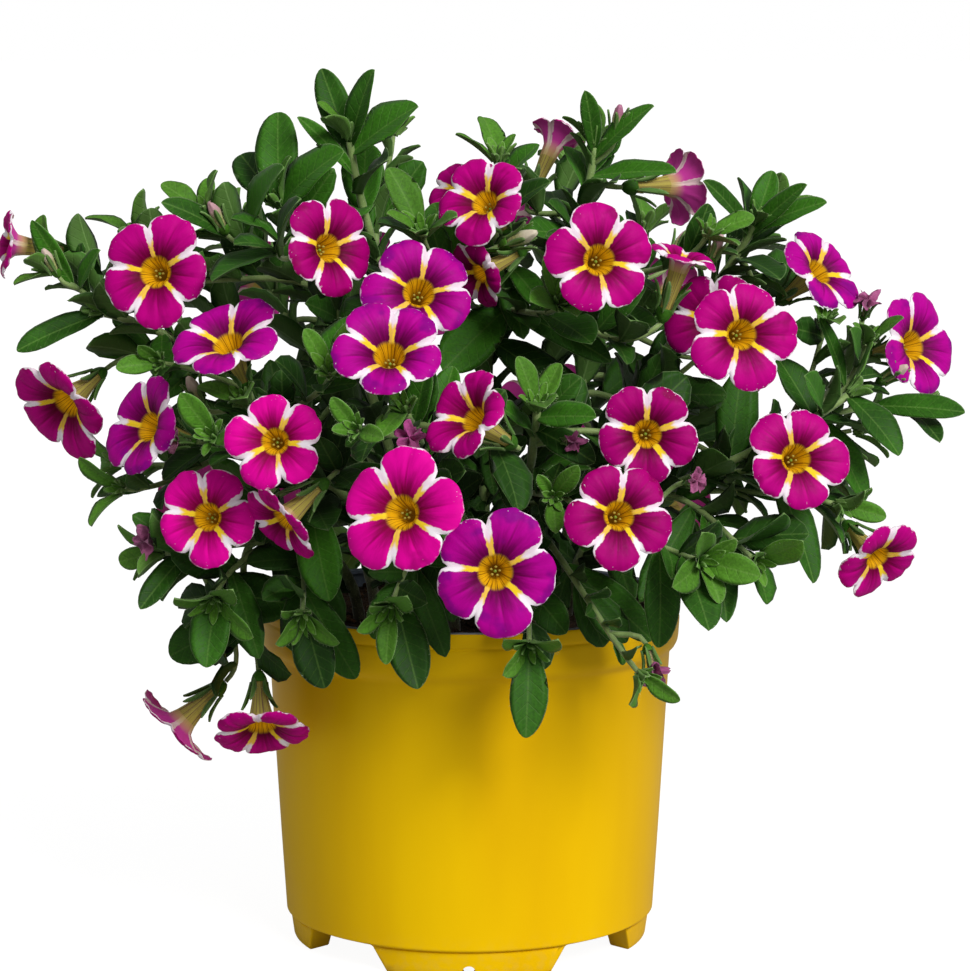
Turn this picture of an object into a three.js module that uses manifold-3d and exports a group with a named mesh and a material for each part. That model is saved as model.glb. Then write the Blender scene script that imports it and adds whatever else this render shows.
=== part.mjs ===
// A calibrachoa in full flower in its 12 cm nursery pot.
// Millimetres, +Z up, the front faces -Y, origin at the middle of the circle that the pot's feet stand on.
//
// Thirteen leafy stems rise from holes in the soil. Each carries side shoots that end in a flower or in a
// growing tip, and the leaves along them. The shoots are bent clear of everything that stands before them,
// and a leaf that finds no free room is left off, so no two pieces touch.

import * as THREE from 'three';
import { mergeVertices } from 'three/addons/utils/BufferGeometryUtils.js';
import Module from 'manifold-3d';

const wasm = await Module();
wasm.setup();

// ---------------------------------------------------------------- driving dimensions

// Pot
const POT_HEIGHT = 97;
const LIP_RADIUS = 60;
const LIP_BORE = 57;
const LIP_THICKNESS = 1.3;
const WALL = 1.2;
const POT_SIDES = 32;
const FOOT_HEIGHT = 7;
const FOOT_INNER_RADIUS = 43;
const FOOT_GAP_BELOW = 31.6;      // width between two feet on the ground
const FOOT_GAP_ABOVE = 24.4;      // and at the raised floor
const NOTCH_RADIUS = 1.9;
const DRAIN_RADIUS = 4;
const DRAIN_CIRCLE = 27;
const POT_WALL_PROFILE = [        // radius, height of the outside, from the ground up to the lip
  [50.4, 0],
  [51.4, FOOT_HEIGHT],
  [52.5, FOOT_HEIGHT + 0.9],
  [56.9, 82.4],
  [59.3, 85.6],
  [LIP_RADIUS, POT_HEIGHT],
];

// Soil
const SOIL_LEVEL = 93;
const FIT_GAP = 0.3;              // air between pieces that touch on the real plant
const HOLE_RADIUS = 3.8;
const HOLE_DEPTH = 10;

// Stems and shoots
const TRUNK_RADIUS = 1.8;
const TRUNK_SIDES = 4;
const SHOOT_RADIUS = 1.15;
const SHOOT_SIDES = 3;
const STEM_STEPS = 5;
const SHOOT_STEPS = 3;
const SHORT_SHOOT = 42;           // a shoot shorter than this has one step less
const ROOT_HANDLE = 0.3;          // handles of a shoot's curve, as shares of the way from root to end
const END_HANDLE = 0.36;
const SHOOT_SPACING = 1.6;        // between the points that a shoot is tested with
const BURIED_SHARE = 0.12;        // share of a shoot that lies in or by its stem

// Flowers
const TUBE_LENGTH = 13;
const TUBE_BASE_RADIUS = 1.5;
const TUBE_WALL = 0.5;
const NECK_DEPTH = 2;             // from the mouth down to where the limb's back meets the tube
const PIT_SHARE = 0.6;            // depth of the blind throat, for a tube of length 1
const MOUTH_SHARE = 0.2;          // radius of the mouth for a limb of radius 1
const PETALS = 5;
const NOTCH_DEPTH = 0.3;          // depth of the notch between two petals, for a limb of radius 1
const PETAL_UNEVEN = 0.12;        // how much of that depth a petal may fall short by
const PETAL_ROUNDNESS = 0.7;      // exponent of the rim between two notches: lower for broader petals
const PETAL_ROLL = 0.07;          // how far a petal's middle rolls back, for a limb of radius 1
const CALYX_DEPTH = 3.6;
const CALYX_RADIUS = 2.4;
const SEPAL_REACH = 5.4;
const SEPAL_LENGTH = 7.5;
const RIM_POINTS = 15;
const OUTLOOK = [6, 12, 18];      // distances before a flower's mouth that other pieces leave open
const OUTLOOK_SHARE = 0.6;        // how far out they do so, as a share of the limb's radius

// Leaves
const LEAF_KEEL = 0.7;            // depth of the keel below the rib
const LEAF_STATIONS = [0.3, 0.74];
const SMALL_LEAF = 15;            // a leaf shorter than this has one station
const SMALL_LEAF_STATIONS = [0.56];
const FACET_SPREAD = 1.06;        // stations stand this much wider, because the facets cut the corners
const STALK_WIDTH = 0.1;          // for a leaf 1 wide
const LEAF_TAPER = 0.75;          // exponent of the outline at the base: higher for a slimmer base
const LEAF_BELLY = 1.8;           // exponent that sets how near the tip a leaf is widest
const LEAF_BLUNTNESS = 0.72;      // exponent of the outline at the tip: lower for a rounder tip
const LEAF_PITCH = 16;            // distance between leaves along a shoot
const LEAFY_FROM = 0.36;          // share of a shoot that bears no leaves
const BARE_ROOT = 12;             // and the least length that bears none
const BARE_TIP = 9;               // bare length below a growing tip
const BARE_STALK = 13;            // and below a flower
const SPIRAL = { lean: [50, 68], size: [0.8, 1.08], width: [0.48, 0.6], bend: [0.25, 0.9] };
const ROSETTE = { lean: [26, 60], size: [0.4, 0.85], width: [0.38, 0.52], bend: [0.3, 0.8] };
const LARGE_BEND = [0.25, 0.6];
const LARGE_FORWARD = 1.1;        // how strongly the large leaves turn to the front
const LEAF_FOLD = 0.26;           // how far the halves of a blade rise from its rib, in radians
const GOLDEN_ANGLE = 2.39996;
const HUB_RADIUS = 1.4;           // where a tip's rosette grows out of its shoot
const HUB_HEIGHT = 1.8;
const FLOWER_LEAF = 23;           // length of the leaves along a flowering shoot
const TRUNK_LEAF = 20;            // and along a stem

// Tries that a leaf makes for free room: turned round its shoot by so many radians and scaled
const LEAF_TRIES = [[0, 1], [0.5, 1], [-0.5, 1], [0, 0.84], [0.9, 0.9], [-0.9, 0.9]];
const ROSETTE_TRIES = [1, 0.82, 0.66, 0.5, 0.35];
const LARGE_LEAF_TRIES = [1, 0.85, 0.7];

// Tries that a shoot makes: swung sideways and lifted by shares of its length
const SHOOT_TRIES = [
  [0, 0], [0.16, 0], [-0.16, 0], [0, -0.16], [0.3, 0], [-0.3, 0], [0.2, -0.2], [-0.2, -0.2],
  [0, 0.2], [0.2, 0.2], [-0.2, 0.2], [0.45, 0], [-0.45, 0], [0, -0.35], [0.35, -0.35], [-0.35, -0.35],
];

// Room kept round what is already there: half the spacing of the points that a shape is tested with,
// and half its thickness
const REACH = { shoot: 1.75, trunk: 2.25, leaf: 1.75, limb: 1.95, outlook: 3.6 };
const OWN_SHARE = 0.7;            // leaves of one stem may stand closer to each other and to their shoots
const OWN_SHARE_LARGE = 0.4;      // and the large leaves closer still
const OWN_FREE = 0.4;             // share of a leaf's length beyond which they count
const TEST_SPACING = 2.2;

const SMALLEST_STEP = 0.15;       // finer steps that joining leaves on a stem's surface are smoothed away

// ---------------------------------------------------------------- the plant's habit, placed by hand

// Each stem: root x, y in the soil, how high it aims straight up, the point it leans past, and its end.
const STEMS = {
  left: { root: [-26, -3], rise: 132, lean: [-62, -6, 168], end: [-102, -4, 178] },
  upper_left: { root: [-15, 5], rise: 140, lean: [-38, -4, 180], end: [-52, -14, 208] },
  top: { root: [-5, 8], rise: 150, lean: [-28, 0, 186], end: [-33, -9, 226] },
  middle: { root: [4, -6], rise: 150, lean: [6, -14, 180], end: [8, -20, 220] },
  upper_right: { root: [14, 5], rise: 150, lean: [30, 0, 185], end: [35, 0, 224] },
  right: { root: [27, -8], rise: 136, lean: [56, -34, 124], end: [104, -24, 157] },
  far_right: { root: [24, 10], rise: 140, lean: [62, 0, 170], end: [79, -12, 203] },
  front_left: { root: [-17, -17], rise: 125, lean: [-46, -38, 138], end: [-59, -48, 157] },
  front: { root: [-4, -25], rise: 128, lean: [-10, -58, 142], end: [-16, -74, 158] },
  front_right: { root: [13, -21], rise: 126, lean: [16, -52, 130], end: [18, -70, 158] },
  low_left: { root: [-30, -18], rise: 124, lean: [-50, -42, 120], end: [-82, -46, 117] },
  back_left: { root: [-18, 22], rise: 138, lean: [-50, 54, 160], end: [-66, 66, 190] },
  back_right: { root: [16, 24], rise: 138, lean: [42, 60, 160], end: [52, 66, 196] },
};

// Each flower: its stem and how far along it the shoot leaves, the middle of its mouth, where it faces
// (degrees round from the front towards +X, degrees above level), its turn in its own plane, its diameter,
// and how deeply it is cupped.
const FLOWERS = {
  flower_01: ['upper_left', 0.72, [-85, -30, 191.5], -12, 12, 29, 33.5, 0.16],
  flower_02: ['front_left', 0.92, [-63.5, -55, 174], -24, 50, 26, 31, 0.28],
  flower_03: ['upper_left', 0.86, [-37, -60, 200], 38, 12, 17, 29, 0.16],
  flower_04: ['middle', 0.86, [4.5, -45, 211], -25, 30, 17, 27, 0.22],
  flower_05: ['upper_right', 0.74, [34, -70, 197.5], 12, 10, 60, 31.5, 0.14],
  flower_06: ['top', 0.62, [-13, -58, 188], 8, 24, 5, 32, 0.16],
  flower_07: ['middle', 0.7, [3, -42, 192], -52, -20, 30, 21, 0.2],
  flower_08: ['front', 0.95, [-20, -86, 174], 0, 38, 12, 31, 0.3],
  flower_09: ['front', 0.9, [2, -90, 158], -44, 28, 48, 26, 0.42],
  flower_10: ['far_right', 0.52, [72, -57, 177], 16, 10, 33, 31.5, 0.14],
  flower_11: ['far_right', 0.74, [67, -30, 178], -18, 8, 20, 29, 0.16],
  flower_12: ['front_right', 0.88, [46, -85, 154], 3, 8, 18, 28.5, 0.14],
  flower_13: ['front_right', 0.7, [38.5, -95, 134.2], 12, 15, 10, 29.5, 0.16],
  flower_14: ['front', 0.7, [-16.5, -103, 136], -20, 13, 48, 34.5, 0.14],
  flower_15: ['front', 0.55, [7, -97, 120], 0, 6, 29, 35, 0.12],
  flower_16: ['front_left', 0.72, [-50, -77, 151], -5, 12, 66, 27, 0.16],
  flower_17: ['front_left', 0.58, [-69, -62, 129], -16, 12, 28, 29, 0.16],
  flower_18: ['low_left', 0.5, [-48, -74, 130], -52, -34, 40, 26, 0.2],
  flower_19: ['left', 0.72, [-112, -12, 154], -40, -28, 30, 33.5, 0.28],
  flower_20: ['left', 0.5, [-86, -42, 150.5], -50, 18, 35, 32, 0.22],
  flower_21: ['right', 0.62, [87.5, -50, 143], 15, 15, 29, 31, 0.14],
  flower_22: ['far_right', 0.9, [97, -10, 190], 50, 34, 50, 29, 0.2],
  flower_23: ['right', 0.9, [124.5, 0, 168.5], 46, 14, 20, 33, 0.2],
  flower_24: ['right', 0.8, [114, -15, 110.5], 34, -30, 15, 28, 0.16],
  flower_25: ['upper_right', 0.9, [57, 8, 213], 122, 0, 25, 24, 0.4],
  flower_26: ['upper_right', 0.66, [56.5, -46, 195], 70, 72, 10, 21, 0.3],
  flower_27: ['upper_right', 0.82, [23, 14, 222.5], 128, 60, 40, 18, 0.75],
  flower_28: ['low_left', 0.7, [-56, -50, 70], 8, -52, 30, 29, 0.22],
  flower_29: ['low_left', 0.86, [-80, -27, 66], -80, -42, 20, 29, 0.2],
  flower_30: ['left', 0.97, [-128, 12, 196], -75, 10, 12, 21, 0.4],
  flower_31: ['middle', 0.86, [-1, -6, 212], -24, 38, 30, 22, 0.24],
  flower_32: ['back_left', 0.75, [-20, 90, 172], 172, 16, 20, 31, 0.16],
  flower_33: ['back_right', 0.6, [24, 104, 141], 177, 8, 35, 32, 0.14],
  flower_34: ['back_right', 0.86, [60, 76, 176], 150, 18, 10, 30, 0.18],
  flower_35: ['back_left', 0.9, [-64, 78, 180], -150, 20, 50, 30, 0.16],
  flower_36: ['back_left', 0.5, [-84, 46, 118], -124, 10, 30, 31, 0.16],
  flower_37: ['back_right', 0.7, [81, 56, 163], 124, 8, 15, 30, 0.16],
  flower_38: ['back_left', 0.5, [-50, 92, 121], -162, 4, 62, 31, 0.14],
  flower_39: ['back_right', 0.45, [62, 86, 110], 156, 0, 42, 30, 0.16],
  flower_40: ['top', 0.72, [-37, 52, 195], 176, 38, 24, 28, 0.2],
  flower_41: ['left', 0.6, [-93, 32, 187], -104, 14, 55, 29, 0.18],
  flower_42: ['back_right', 0.5, [97, 42, 128], 110, -8, 5, 28, 0.2],
  flower_43: ['back_left', 0.4, [-8, 101, 93], 180, -12, 30, 29, 0.18],
  flower_44: ['middle', 0.8, [9, 48, 203], 176, 36, 45, 24, 0.2],
};

// Each growing tip: its stem, how far along it the shoot leaves, the tip, where it points (as for a
// flower), and the length of its largest leaves.
const TIPS = [
  ['left', 0.9, [-116, 2, 189], -70, 40, 20],
  ['left', 0.45, [-94, -30, 132], -50, 10, 17],
  ['left', 0.4, [-100, 24, 132], -100, 10, 20],
  ['left', 0.75, [-92, 18, 196], -100, 50, 22],
  ['upper_left', 0.8, [-72, -12, 205], -60, 60, 19],
  ['upper_left', 0.6, [-66, 34, 198], -130, 45, 22],
  ['top', 0.7, [-22, 30, 226], 170, 60, 20],
  ['middle', 0.6, [24, -50, 184], 20, 30, 22],
  ['middle', 0.55, [-12, -46, 202], -10, 45, 24],
  ['upper_right', 0.6, [64, -34, 201], 40, 50, 18],
  ['upper_right', 0.5, [28, 44, 216], 160, 50, 22],
  ['far_right', 0.8, [84, 24, 200], 120, 45, 22],
  ['right', 0.95, [110, -14, 170], 30, 55, 16],
  ['right', 0.86, [127, -6, 153], 86, 0, 13],
  ['right', 0.5, [76, -58, 117], 20, -10, 20],
  ['right', 0.4, [100, -30, 128], 50, -5, 19],
  ['right', 0.6, [110, 20, 142], 90, 10, 20],
  ['front_left', 0.5, [-67, -62, 150], -20, 25, 18],
  ['front_left', 0.8, [-36, -72, 168], 0, 30, 20],
  ['front', 0.8, [-28, -88, 155], -20, 20, 17],
  ['front', 0.4, [-20, -76, 108], -10, -20, 22],
  ['front_right', 0.5, [60, -78, 120], 30, 0, 24],
  ['front_right', 0.4, [44, -86, 92], 30, -25, 15],
  ['front_right', 0.55, [22, -74, 136], 4, 8, 17],
  ['front_right', 0.3, [16, -76, 98], 0, -30, 22],
  ['low_left', 0.6, [-68, -52, 106], -10, -30, 22],
  ['low_left', 0.4, [-44, -64, 104], 0, -30, 22],
  ['back_left', 0.45, [-80, 60, 112], -140, 0, 24],
  ['back_left', 0.7, [-40, 88, 150], -170, 20, 22],
  ['back_left', 0.3, [-34, 84, 98], -165, -25, 22],
  ['back_right', 0.75, [28, 84, 178], 178, 30, 22],
  ['back_right', 0.35, [30, 86, 100], 168, -25, 22],
  ['back_right', 0.55, [86, 66, 128], 140, 0, 24],
  ['right', 0.82, [98, -18, 176], 10, 55, 16],
  ['left', 0.55, [-84, -24, 166], -30, 10, 15],
];

// Large leaves that show from a step away: stem, where they leave it, their tip, their width.
const LARGE_LEAVES = [
  ['left', [-104, -5, 178], [-126, -10, 168], 8],
  ['left', [-112, 0, 186], [-122, -4, 204], 6],
  ['left', [-110, 0, 184], [-103, -6, 196], 6],
  ['upper_left', [-66, -12, 200], [-84, -22, 210], 7],
  ['upper_left', [-60, -14, 203], [-50, -32, 220], 13],
  ['upper_left', [-52, -14, 208], [-34, -26, 224], 13],
  ['upper_left', [-56, -12, 206], [-64, 2, 222], 11],
  ['top', [-33, -8, 221], [-41, -4, 246], 9],
  ['top', [-33, -9, 222], [-14, -14, 236], 13],
  ['top', [-32, -8, 216], [-47, -16, 233], 5],
  ['top', [-31, -7, 212], [-22, -30, 222], 12],
  ['top', [-30, -5, 206], [-34, -32, 205], 11],
  ['middle', [9, -19, 206], [22, -32, 216], 8],
  ['upper_right', [35, 0, 222], [32, -8, 240], 6],
  ['upper_right', [35, 0, 221], [51, -8, 236], 7],
  ['upper_right', [35, 0, 216], [57, -14, 218], 8],
  ['upper_right', [33, 0, 206], [40, -28, 216], 10],
  ['far_right', [78, -11, 199], [64, -24, 216], 6],
  ['far_right', [79, -12, 201], [84, -8, 218], 7],
  ['far_right', [79, -12, 200], [98, -20, 210], 7],
  ['far_right', [76, -10, 194], [84, -36, 190], 10],
  ['right', [104, -24, 157], [117, -36, 142], 10],
  ['right', [98, -27, 152], [90, -48, 165], 9],
  ['right', [108, -18, 166], [104, -30, 176], 7],
  ['right', [122, -10, 152], [130, -22, 144], 7],
  ['front_right', [54, -76, 120], [62, -92, 104], 11],
  ['front_right', [16, -76, 98], [15, -84, 74], 10],
  ['front_right', [18, -70, 156], [33, -82, 158], 8],
  ['front_right', [18, -68, 152], [33, -74, 145], 8],
  ['low_left', [-76, -46, 116], [-88, -55, 103], 7],
  ['low_left', [-66, -50, 108], [-70, -60, 88], 11],
  ['middle', [15, -18, 184], [-7, -34, 165], 14],
  ['middle', [16, -20, 188], [28, -36, 172], 11],
  ['middle', [17, -18, 170], [33, -30, 153], 12],
  ['middle', [16, -18, 130], [-8, -38, 142], 6],
  ['middle', [15, -22, 128], [33, -40, 139], 6],
  ['front_right', [36, -40, 103], [49, -58, 95], 10],
  ['low_left', [-34, -40, 128], [-37, -60, 106], 12],
  ['front_left', [-23, -36, 146], [-18, -52, 137], 9],
  ['left', [-47, -12, 174], [-38, -30, 159], 11],
  ['right', [84, -26, 140], [80, -40, 152], 8],
  ['upper_left', [-52, -14, 208], [-53, -4, 234], 12],
  ['right', [82, -34, 137], [93, -49, 109], 10],
  ['right', [62, -34, 122], [69, -58, 100], 9],
  ['right', [112, -12, 152], [137, -20, 152], 8],
  ['top', [-33, -9, 224], [-26, -17, 246], 8],
  ['front_right', [50, -67, 122], [50, -74, 96], 10],
  ['middle', [20, -16, 172], [44, -26, 164], 10],
  ['far_right', [77, -11, 200], [92, -24, 215], 6],
  ['low_left', [-46, -62, 106], [-38, -68, 84], 11],
  ['low_left', [-36, -54, 108], [-30, -60, 85], 10],
  ['front', [-18, -72, 107], [-13, -84, 87], 11],
  ['front', [-20, -66, 114], [-25, -72, 98], 9],
  ['front_right', [17, -58, 112], [26, -64, 98], 9],
  ['right', [96, -26, 150], [85, -20, 167], 10],

  ['right', [104, -22, 162], [94, -26, 183], 6],
  ['right', [100, -24, 148], [109, -26, 128], 9],
  ['left', [-86, -8, 172], [-84, -22, 158], 9],
  ['front', [-10, -60, 145], [-4, -52, 168], 9],
];

// ---------------------------------------------------------------- vectors, curves and repeatable noise

const vec = (x, y, z) => new THREE.Vector3(x, y, z);
const point = (list) => new THREE.Vector3(...list);
const radians = THREE.MathUtils.degToRad;
const UP = vec(0, 0, 1);
const CORE = vec(0, 0, 110);      // the plant spreads from here
const FIFTHS = [0, 1, 2, 3, 4].map((i) => (i * 2 * Math.PI) / 5);
const TO_MIDDLE = Math.PI / 5;    // from a corner of five to the middle of its side

const along = (start, ...steps) => {
  const sum = start.clone();
  for (let i = 0; i < steps.length; i += 2) sum.addScaledVector(steps[i], steps[i + 1]);
  return sum;
};

/** Direction that turns `round` degrees from the front towards +X and rises `above` degrees. */
function heading(round, above) {
  const [a, e] = [radians(round), radians(above)];
  return vec(Math.sin(a) * Math.cos(e), -Math.cos(a) * Math.cos(e), Math.sin(e));
}

/** Part of `v` that stands square to the unit vector `axis`, at unit length. */
const square = (v, axis) => along(v, axis, -v.dot(axis)).normalize();

/** Repeatable number from 0 to 1 for three whole numbers. */
function noise(a, b, c) {
  const wave = Math.sin(a * 12.9898 + b * 78.233 + c * 37.719) * 43758.5453;
  return wave - Math.floor(wave);
}

/** Value a share of the way from low to high. */
const spread = ([low, high], share) => low + (high - low) * share;

/** Point of a cubic curve with four control points. */
function curvePoint([a, b, c, d], t) {
  const s = 1 - t;
  return along(vec(0, 0, 0), a, s * s * s, b, 3 * s * s * t, c, 3 * s * t * t, d, t * t * t);
}

function curveTangent([a, b, c, d], t) {
  const s = 1 - t;
  return along(vec(0, 0, 0), a, -s * s, b, s * s - 2 * s * t, c, 2 * s * t - t * t, d, t * t).normalize();
}

function curveLength(curve) {
  const steps = 24;
  let length = 0;
  let last = curve[0];
  for (let i = 1; i <= steps; i += 1) {
    const next = curvePoint(curve, i / steps);
    length += last.distanceTo(next);
    last = next;
  }
  return length;
}

/** Points along a curve from the share `from` on, about `spacing` apart. */
function curvePoints(curve, from, spacing) {
  const count = Math.ceil(curveLength(curve) / spacing);
  const points = [];
  for (let i = 0; i <= count; i += 1) {
    if (i / count >= from) points.push(curvePoint(curve, i / count));
  }
  return points;
}

// ---------------------------------------------------------------- free room

/** Distance from a point to the pot or the soil, as if the pot were a plain ring up to its lip. */
function potDistance(p) {
  const radius = Math.hypot(p.x, p.y);
  const overLip = Math.max(0, p.z - POT_HEIGHT);
  const besideLip = Math.max(0, radius - LIP_RADIUS - 0.2, LIP_BORE - 1.5 - radius);
  const toLip = Math.hypot(overLip, besideLip);
  return radius < LIP_BORE ? Math.min(toLip, p.z - SOIL_LEVEL) : toLip;
}

/** Points that stand for the shapes placed so far, kept in cubes of space. */
class Room {
  constructor() {
    this.cell = 6;
    this.cubes = new Map();
  }

  key(p, dx = 0, dy = 0, dz = 0) {
    const index = (v, d) => Math.floor(v / this.cell) + d;
    return `${index(p.x, dx)},${index(p.y, dy)},${index(p.z, dz)}`;
  }

  fill(points, reach, owner) {
    for (const p of points) {
      const key = this.key(p);
      if (!this.cubes.has(key)) this.cubes.set(key, []);
      this.cubes.get(key).push({ p, reach, owner });
    }
  }

  /** Everything that stands in the cube of `p` and in the 26 cubes round it. */
  near(p) {
    const steps = [-1, 0, 1];
    const keys = steps.flatMap((dx) => steps.flatMap((dy) => steps.map((dz) => this.key(p, dx, dy, dz))));
    return keys.flatMap((key) => this.cubes.get(key) ?? []);
  }

  /**
   * Smallest air left between the points and what stands here. Pieces of the same owner count from the
   * point number `free` on, with `ownShare` of the reach.
   */
  air(points, reach, owner, ownShare = 0, free = 0) {
    let least = Infinity;
    points.forEach((p, index) => {
      least = Math.min(least, potDistance(p) - reach);
      for (const other of this.near(p)) {
        const own = other.owner === owner;
        if (own && (ownShare === 0 || index < free)) continue;
        least = Math.min(least, p.distanceTo(other.p) - (reach + other.reach) * (own ? ownShare : 1));
      }
    });
    return least;
  }
}

const room = new Room();

// ---------------------------------------------------------------- flowers

/** Frame of a flower: throat, facing, and the two directions of its plane. */
function flowerFrame([stem, at, throat, round, above, turn, diameter, cup]) {
  const face = heading(round, above);
  const right = face.clone().negate().cross(UP).normalize();
  const upper = right.clone().cross(face.clone().negate());
  const radius = diameter / 2;
  const mouth = radius * MOUTH_SHARE;
  return { stem, at, throat: point(throat), face, right, upper, turn: radians(turn), radius, mouth, cup };
}

/** Point at a distance from a flower's axis, a depth below its mouth and an angle round it. */
function ringPoint(flower, radius, depth, angle) {
  const { throat, right, upper, face } = flower;
  return along(throat, right, radius * Math.cos(angle), upper, radius * Math.sin(angle), face, -depth);
}

/**
 * Point of the limb. `share` runs from 0 at the mouth to 1 at the rim. The rim dips where two petals meet
 * and swells out unevenly between, the limb rises by `cup` of its radius with a level edge, and the petals'
 * middles roll back a little.
 */
function limbPoint(flower, share, angle) {
  const { radius, mouth, cup, turn, seed } = flower;
  const petal = Math.abs(Math.sin(2.5 * (angle - turn)));
  const number = Math.floor((angle - turn) / (2 * TO_MIDDLE) + PETALS) % PETALS;
  const bulge = NOTCH_DEPTH - PETAL_UNEVEN * noise(seed, number, 21);
  const rim = radius * (1 - NOTCH_DEPTH + bulge * Math.pow(petal, PETAL_ROUNDNESS));
  const rise = radius * (cup * (2 * share - share * share) - PETAL_ROLL * share * share * petal);
  return ringPoint(flower, spread([mouth, rim], share), -rise, angle);
}

/** Corolla: a lens-shaped limb round a blind throat, on a five-sided tube. */
function corollaGeometry(flower) {
  const corners = [];
  for (let i = 0; i < RIM_POINTS; i += 1) {
    corners.push(limbPoint(flower, 1, flower.turn + (i * 2 * Math.PI) / RIM_POINTS));
  }
  const petals = FIFTHS.map((angle) => angle + flower.turn + TO_MIDDLE);
  const ring = (radius, depth) => petals.map((angle) => ringPoint(flower, radius, depth, angle));
  corners.push(...ring(flower.mouth, 0));
  corners.push(...ring(flower.mouth + TUBE_WALL, NECK_DEPTH));
  corners.push(...ring(TUBE_BASE_RADIUS, TUBE_LENGTH));
  corners.push(ringPoint(flower, 0, TUBE_LENGTH * PIT_SHARE, 0));
  const [mouth, neck, foot, pit] = [RIM_POINTS, RIM_POINTS + 5, RIM_POINTS + 10, RIM_POINTS + 15];
  const faces = [];
  const perPetal = RIM_POINTS / 5;
  for (let petal = 0; petal < 5; petal += 1) {
    const next = (petal + 1) % 5;
    for (let i = 0; i < perPetal; i += 1) {
      const a = petal * perPetal + i;
      const b = (a + 1) % RIM_POINTS;
      faces.push([mouth + petal, a, b], [neck + petal, b, a]);
    }
    const seam = ((petal + 1) * perPetal) % RIM_POINTS;
    faces.push([mouth + petal, seam, mouth + next], [neck + petal, neck + next, seam]);
    faces.push([mouth + petal, mouth + next, pit]);
    faces.push([neck + petal, foot + petal, foot + next], [neck + petal, foot + next, neck + next]);
  }
  faces.push([foot, foot + 2, foot + 1], [foot, foot + 3, foot + 2], [foot, foot + 4, foot + 3]);
  return faceted(corners, faces);
}

/** Points over the limb, before it, and over the tube and the sepals, that keep other pieces away. */
function flowerPoints(flower) {
  const limb = [];
  const { mouth, radius } = flower;
  for (let out = mouth; out < radius + TEST_SPACING; out += TEST_SPACING) {
    const share = Math.min(1, (out - mouth) / (radius - mouth));
    const count = Math.ceil((2 * Math.PI * out) / TEST_SPACING);
    for (let i = 0; i < count; i += 1) limb.push(limbPoint(flower, share, (i * 2 * Math.PI) / count));
  }
  for (let depth = 1; depth < TUBE_LENGTH; depth += 1.5) limb.push(ringPoint(flower, 0, depth, 0));
  const outlook = OUTLOOK.map((before) => ringPoint(flower, 0, -before, 0));
  for (const angle of FIFTHS) {
    for (const before of OUTLOOK) outlook.push(ringPoint(flower, radius * OUTLOOK_SHARE, -before, angle));
  }
  const base = [TUBE_LENGTH + 1, TUBE_LENGTH + CALYX_DEPTH];
  const calyx = base.map((depth) => ringPoint(flower, 0, depth, 0));
  for (const angle of FIFTHS) {
    for (const share of [0.35, 0.7, 1]) {
      const out = spread([CALYX_RADIUS, SEPAL_REACH], share);
      calyx.push(ringPoint(flower, out, TUBE_LENGTH - SEPAL_LENGTH * share, angle + TO_MIDDLE));
    }
  }
  return { limb, calyx, outlook };
}

// ---------------------------------------------------------------- shoots

/** Curve from a stem to `end`, arriving along `face`, by the first of the tries that leaves room. */
function growShoot(trunk, at, end, face, owner) {
  const start = curvePoint(trunk, at);
  const rising = curveTangent(trunk, at);
  const length = start.distanceTo(end);
  const side = end.clone().sub(start).normalize().cross(UP).normalize();
  let best = null;
  for (const [swing, lift] of SHOOT_TRIES) {
    const first = along(start, rising, ROOT_HANDLE * length, side, swing * length, UP, lift * length);
    const second = along(end, face, -END_HANDLE * length, side, swing * length, UP, lift * length);
    const curve = [start, first, second, end];
    const points = curvePoints(curve, BURIED_SHARE, SHOOT_SPACING);
    const air = room.air(points, REACH.shoot, owner);
    if (!best || air > best.air) best = { curve, air, points };
    if (air > 0) break;
  }
  room.fill(best.points, REACH.shoot, owner);
  return best.curve;
}

const nearestOf = (spots, p) => spots.reduce((a, b) => (b.distanceTo(p) < a.distanceTo(p) ? b : a));

/** Nearest point to `p` on the straight stretches between the points of `line`. */
function nearestOn(line, p) {
  const nearestIn = (from, to) => new THREE.Line3(from, to).closestPointToPoint(p, true, vec(0, 0, 0));
  return nearestOf(line.slice(1).map((end, i) => nearestIn(line[i], end)), p);
}

/** Straight stretches that a shoot's solid is made of. */
const stretches = (curve, steps) => new THREE.CubicBezierCurve3(...curve).getSpacedPoints(steps);

/** Two directions square to `tangent` and to each other; about level shoots the first one points up. */
function ringFrame(tangent) {
  const first = square(Math.abs(tangent.z) > 0.9 ? vec(1, 0, 0) : UP, tangent);
  return [first, tangent.clone().cross(first)];
}

const around = (centre, [first, second], radius, angle) => (
  along(centre, first, radius * Math.cos(angle), second, radius * Math.sin(angle)));

/** Triangles between two loops of corners, each a list of { id, angle } that rises through a full turn. */
function stitch(lower, upper) {
  const faces = [];
  const idOf = (loop, k) => loop[k % loop.length].id;
  const angleOf = (loop, k) => loop[k % loop.length].angle + 2 * Math.PI * Math.floor(k / loop.length);
  let [i, j] = [0, 0];
  while (i < lower.length || j < upper.length) {
    const lowerFirst = angleOf(lower, i + 1) < angleOf(upper, j + 1);
    const turnLower = j >= upper.length || (i < lower.length && lowerFirst);
    const next = turnLower ? idOf(lower, i + 1) : idOf(upper, j + 1);
    faces.push([idOf(lower, i), next, idOf(upper, j)]);
    if (turnLower) i += 1;
    else j += 1;
  }
  return faces;
}

/** Flat lid over a loop of corners. */
const lid = (ids) => ids.slice(2).map((id, i) => [ids[0], ids[i + 1], id]);

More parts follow.
